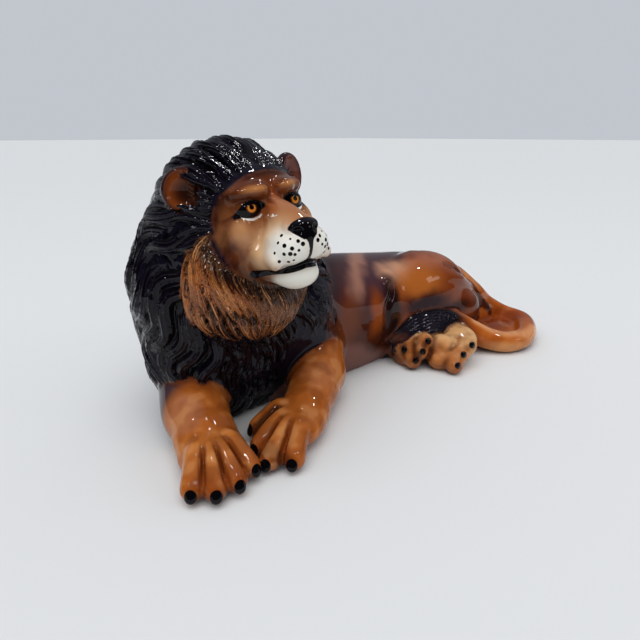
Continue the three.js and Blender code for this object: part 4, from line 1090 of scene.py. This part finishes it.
# The body's washes follow its place in the clay, a little unsteadily, as sprayed paint does. Some
# are painted light: pink low on the belly that is partly a painted reflection of the floor, a painted
# sheen on top of the haunch, a painted highlight on its front crest, and painted shade under the
# haunch and in the crease before it.
in_clay = vector("MULTIPLY_ADD", node("ShaderNodeTexCoord").outputs["Object"], (1 / MM, 1 / MM, 1 / MM),
                 FIGURE_MIDDLE)
drift = vector("SUBTRACT", noise(in_clay, 0.03)["Color"], (0.5, 0.5, 0.5))
on_clay = vector("MULTIPLY_ADD", drift, (20, 20, 20), in_clay)
height = vector("DOT_PRODUCT", on_clay, (0, 0, 1), output=1)
slant = vector("DOT_PRODUCT", on_clay, (1, -1, 0), output=1)    # bands slant back over the spine
to_belly = vector("DOT_PRODUCT", on_clay, (0.4, 0, 1), output=1)


def stripe(middle, half, soft):
    """A band over the trunk: full within half of the middle slant, fading out over soft."""
    return smooth(maths("ABSOLUTE", maths("SUBTRACT", slant, middle)), half + soft, half)


haunch = all_of(sprayed((574, 150, 92), (128, 90, 96), 0.12), smooth(slant, 290, 318))
body = over(
    (78, 37, 23),
    (all_of(smooth(height, 112, 160), 0.9), (76, 50, 54)),                              # back
    (all_of(stripe(230, 2, 34), smooth(height, 120, 165), 0.85), (160, 116, 98)),       # pale stripe
    (all_of(stripe(276, 6, 28), smooth(height, 60, 140), 0.8), (74, 48, 56)),           # dark stripe
    (all_of(smooth(slant, 205, 165), 0.9), (48, 30, 32)),                               # behind the mane
    (sprayed((330, 118, 112), (26, 40, 44), 0.7, 0.6), (120, 62, 30)),
    (sprayed((404, 119, 104), (18, 30, 46), 0.6, 0.9), (144, 74, 30)),
    # Lighter and pinker low on the trunk: partly its paint, partly a painted reflection of the floor.
    (all_of(smooth(to_belly, 216, 192), smooth(slant, 380, 340), 0.9), (124, 80, 68)),  # belly
    (sprayed((412, 120, 54), (26, 30, 24), 0.5, 0.8), (64, 30, 20)),
    (haunch, (128, 66, 34)),
    # Paler and more mauve on the top of the haunch: a painted reflection from above.
    (all_of(haunch, smooth(height, 150, 180)), (158, 100, 76)),
    # Painted highlight along the haunch's front crest.
    (sprayed((480, 160, 160), (46, 26, 20), 0.6, 0.8), (206, 156, 124)),                # front crest
    (sprayed((520, 125, 142), (44, 40, 28), 0.7, 0.85), (176, 106, 50)),
    (sprayed((640, 115, 120), (40, 40, 30), 0.6, 0.6), (112, 50, 24)),
    # Painted shade along the lower edge of the haunch, over the tuft, in these two sprays.
    (sprayed((524, 108, 104), (54, 34, 20), 0.6, 0.95), (36, 24, 34)),                  # over the tuft
    (sprayed((590, 92, 82), (60, 34, 16), 0.6, 0.9), (46, 24, 24)),
    # Painted shade in the crease between the flank and the haunch.
    (sprayed((446, 124, 104), (20, 30, 56), 0.5, 0.92), (34, 20, 22)),                  # before the knee
    (sprayed((560, 290, 66), (150, 60, 84), 0.4), (138, 72, 32)),                       # right haunch
)

# Painted shade darkens the hair between the strands, a painted sheen lightens the mane along their
# crowns, and fine hair lines run along the strands in the ruff. The glaze takes up the strands'
# relief, so that its gloss breaks into lines.
across, along, lock = node("ShaderNodeSeparateXYZ", stored("strand", "Vector")).outputs
hair_mask, ruff_mask = stored("hair"), stored("ruff")
streak = noise(node("ShaderNodeCombineXYZ", maths("MULTIPLY", across, 1.2), maths("MULTIPLY", along, 0.9),
                    maths("MULTIPLY", lock, 40.0)).outputs[0], 1)["Fac"]
ridge = maths("COSINE", maths("MULTIPLY", across, 2 * math.pi))      # 1 on a strand, -1 between two
colour = over(
    body,
    (stored("painted"), stored("paint", "Color")),
    # Painted sheen along the crowns of the mane's strands.
    (all_of(smooth(ridge, 0.0, 0.9), hair_mask, 0.3), (42, 38, 54)),
    # Painted shade between the mane's strands.
    (all_of(smooth(ridge, 0.0, -0.9), hair_mask, 0.75), (14, 10, 13)),
    (all_of(smooth(streak, 0.49, 0.58), ruff_mask, 0.9), (40, 21, 16)),
    (all_of(smooth(streak, 0.45, 0.3), ruff_mask, 0.6), (226, 166, 112)),
    # Painted shade between the ruff's strands.
    (all_of(smooth(ridge, -0.2, -1.0), ruff_mask, 0.6), (30, 17, 15)),
)
relief = node("ShaderNodeBump")
relief.inputs["Strength"].default_value = 0.3
relief.inputs["Distance"].default_value = 0.0007
tree.links.new(all_of(ridge, maths("MAXIMUM", hair_mask, ruff_mask)), relief.inputs["Height"])
tree.links.new(relief.outputs[0], coat.inputs["Coat Normal"])

# The paint is mottled where it was wiped back. The drawn parts go over it in black and white, with
# a painted highlight in bluish grey on top of the black nose, then the eyes in rings from the dark
# edge to the pupil, and spots on both whisker pads.
mottle, wiped_mask = noise(in_clay, 0.04)["Fac"], stored("wiped")
BLACK = (16, 13, 17)
colour = over(
    colour,
    (all_of(smooth(mottle, 0.5, 0.66), wiped_mask, 0.3), (214, 158, 104)),
    (all_of(smooth(mottle, 0.5, 0.36), wiped_mask, 0.35), (112, 56, 24)),
    (inside(stored("ink"), 0.5), BLACK),
    (inside(stored("lid line"), 0.4), (238, 236, 228)),
    # Painted highlight: bluish grey on top of the black nose.
    (stored("painted nose highlight"), (46, 48, 60)),
)
forward, left_of_face, up = node("ShaderNodeSeparateXYZ", stored("on face", "Vector")).outputs
to_side = maths("ABSOLUTE", left_of_face)
across_eye = node("ShaderNodeCombineXYZ", 0.0, to_side, up).outputs[0]
in_front = maths("GREATER_THAN", forward, -12.0)
EYE_SIDE, EYE_UP = 29.6, 0.6
for radius, rise, tint in ((6.8, 0, (24, 16, 14)), (6, 0, (140, 78, 28)),
                           (4.7, -0.5, (204, 132, 48)), (2.8, 0.6, (8, 7, 9))):
    off = vector("DISTANCE", across_eye, (0, EYE_SIDE, EYE_UP + rise), output=1)
    colour = over(colour, (all_of(inside(maths("SUBTRACT", off, radius), 0.35), in_front), tint))
whisker_spots = (                                 # forward, to the side, up, radius
    (58.2, 25.0, -29.1, 2.0), (68.8, 20.7, -33.1, 1.3), (58.0, 30.6, -36.1, 1.8), (66.7, 28.1, -39.1, 2.4),
    (73.6, 14.2, -36.5, 2.1), (75.4, 9.8, -40.4, 2.5), (72.5, 22.4, -43.0, 2.3), (74.6, 15.5, -46.3, 1.7),
    (53.9, 34.6, -47.0, 1.7), (66.0, 29.8, -48.2, 2.1), (71.0, 24.8, -48.6, 2.5), (72.8, 20.1, -50.1, 1.9),
    (59.1, 33.3, -56.4, 1.9), (64.0, 24.6, -58.3, 2.0), (68.6, 20.3, -56.9, 1.5),
)
on_pad = node("ShaderNodeCombineXYZ", forward, to_side, up).outputs[0]
nearest = None
for *spot, radius in whisker_spots:
    off = maths("SUBTRACT", vector("DISTANCE", on_pad, spot, output=1), radius)
    nearest = off if nearest is None else maths("MINIMUM", nearest, off)
colour = over(colour, (inside(stored("upper lid"), 0.4), BLACK), (inside(nearest, 0.4), (18, 15, 18)))
tree.links.new(colour, coat.inputs["Base Color"])
thinned.materials.clear()
thinned.materials.append(glaze)

# The floor. It is a wide pale sheet with no gloss, on which the figure stands. It belongs to the
# room and not to the part.
floor_mesh = bpy.data.meshes.new("floor")
floor_mesh.from_pydata([(-40, -40, 0), (40, -40, 0), (40, 40, 0), (-40, 40, 0)], [], [(0, 1, 2, 3)])
floor = bpy.data.objects.new("floor", floor_mesh)
bpy.context.scene.collection.objects.link(floor)
plain = bpy.data.materials.new("pale floor")
plain.use_nodes = True
plain.node_tree.nodes["Principled BSDF"].inputs["Base Color"].default_value = (0.73, 0.73, 0.72, 1)
plain.node_tree.nodes["Principled BSDF"].inputs["Specular IOR Level"].default_value = 0.0
floor_mesh.materials.append(plain)

# The walls light the lion evenly. In the glaze they are dim, and pale only high up behind the lion,
# so that the glaze stays dark toward the camera.
world = bpy.context.scene.world or bpy.data.worlds.new("room")
bpy.context.scene.world = world
world.use_nodes = True
tree = world.node_tree
ray = node("ShaderNodeTexCoord").outputs["Generated"]
behind = vector("DOT_PRODUCT", ray, (0.55, 0.62, 0.45), output=1)
in_gloss = node("ShaderNodeMapRange", behind, 0.2, 0.6, 0.02, 0.4).outputs[0]
gloss_ray = node("ShaderNodeLightPath").outputs["Is Glossy Ray"]
walls = tree.nodes["Background"]
walls.inputs["Color"].default_value = (0.62, 0.65, 0.7, 1)
tree.links.new(node("ShaderNodeMix", gloss_ray, None, 0.76, in_gloss).outputs[0], walls.inputs["Strength"])


def lamp(name, place, aim, size, power):
    """A square soft light at place, turned to aim."""
    data = bpy.data.lights.new(name, "AREA")
    data.size, data.energy = size, power
    light = bpy.data.objects.new(name, data)
    away = unit(np.array(place) - np.array(aim))
    light.location = place
    light.rotation_euler = (math.acos(away[2]), 0, math.atan2(away[1], away[0]) + math.pi / 2)
    bpy.context.scene.collection.objects.link(light)
    return light


# A soft ceiling and daylight shape the figure and are not seen in the glaze. Two windows are seen
# there too, and seven small lamps nowhere else: they make its wet highlights.
lamp("ceiling", (-0.7, -0.5, 2.6), (0, 0, 0), 2.0, 5).visible_glossy = False
daylight = bpy.data.objects.new("daylight", bpy.data.lights.new("daylight", "SUN"))
daylight.data.energy, daylight.data.angle = 1.15, 1.2
daylight.rotation_euler = (0.25, -0.3, 0)
daylight.visible_glossy = False
bpy.context.scene.collection.objects.link(daylight)
lamp("window", (-2.2, -0.6, 1.9), (0, 0, 0.2), 0.9, 0.4).data.color = (0.75, 0.8, 1)
lamp("far window", (2.2, -3.9, 2.3), (0.1, 0, 0.1), 0.8, 6)
for i, place in enumerate(((-1.6, 0.3), (0.95, -1.17), (1.0, 0.8), (-0.9, -1.2), (-1.9, -1.0), (-0.1, 0.2),
                           (-0.1, -0.75))):
    lamp(f"spot {i}", (*place, 2.3), (0, 0, 0.2), 0.13, 4.2).visible_diffuse = False

# The camera stands off the paws, at the photograph's angle.
CAMERA_PLACE = np.array([-228, -432, 400])        # in the clay's own millimetres
CAMERA_DOWN, CAMERA_TURN = 20, -42                # degrees below level, and about the upright
camera_data = bpy.data.cameras.new("camera")
camera_data.sensor_width, camera_data.lens = 36, 28.74
camera = bpy.data.objects.new("camera", camera_data)
camera.location = (CAMERA_PLACE - FIGURE_MIDDLE) * MM
camera.rotation_euler = np.radians([90 - CAMERA_DOWN, 0, CAMERA_TURN])
bpy.context.scene.collection.objects.link(camera)
bpy.context.scene.camera = camera
bpy.context.scene.view_settings.view_transform = "Standard"
bpy.context.scene.view_settings.look = "Medium High Contrast"
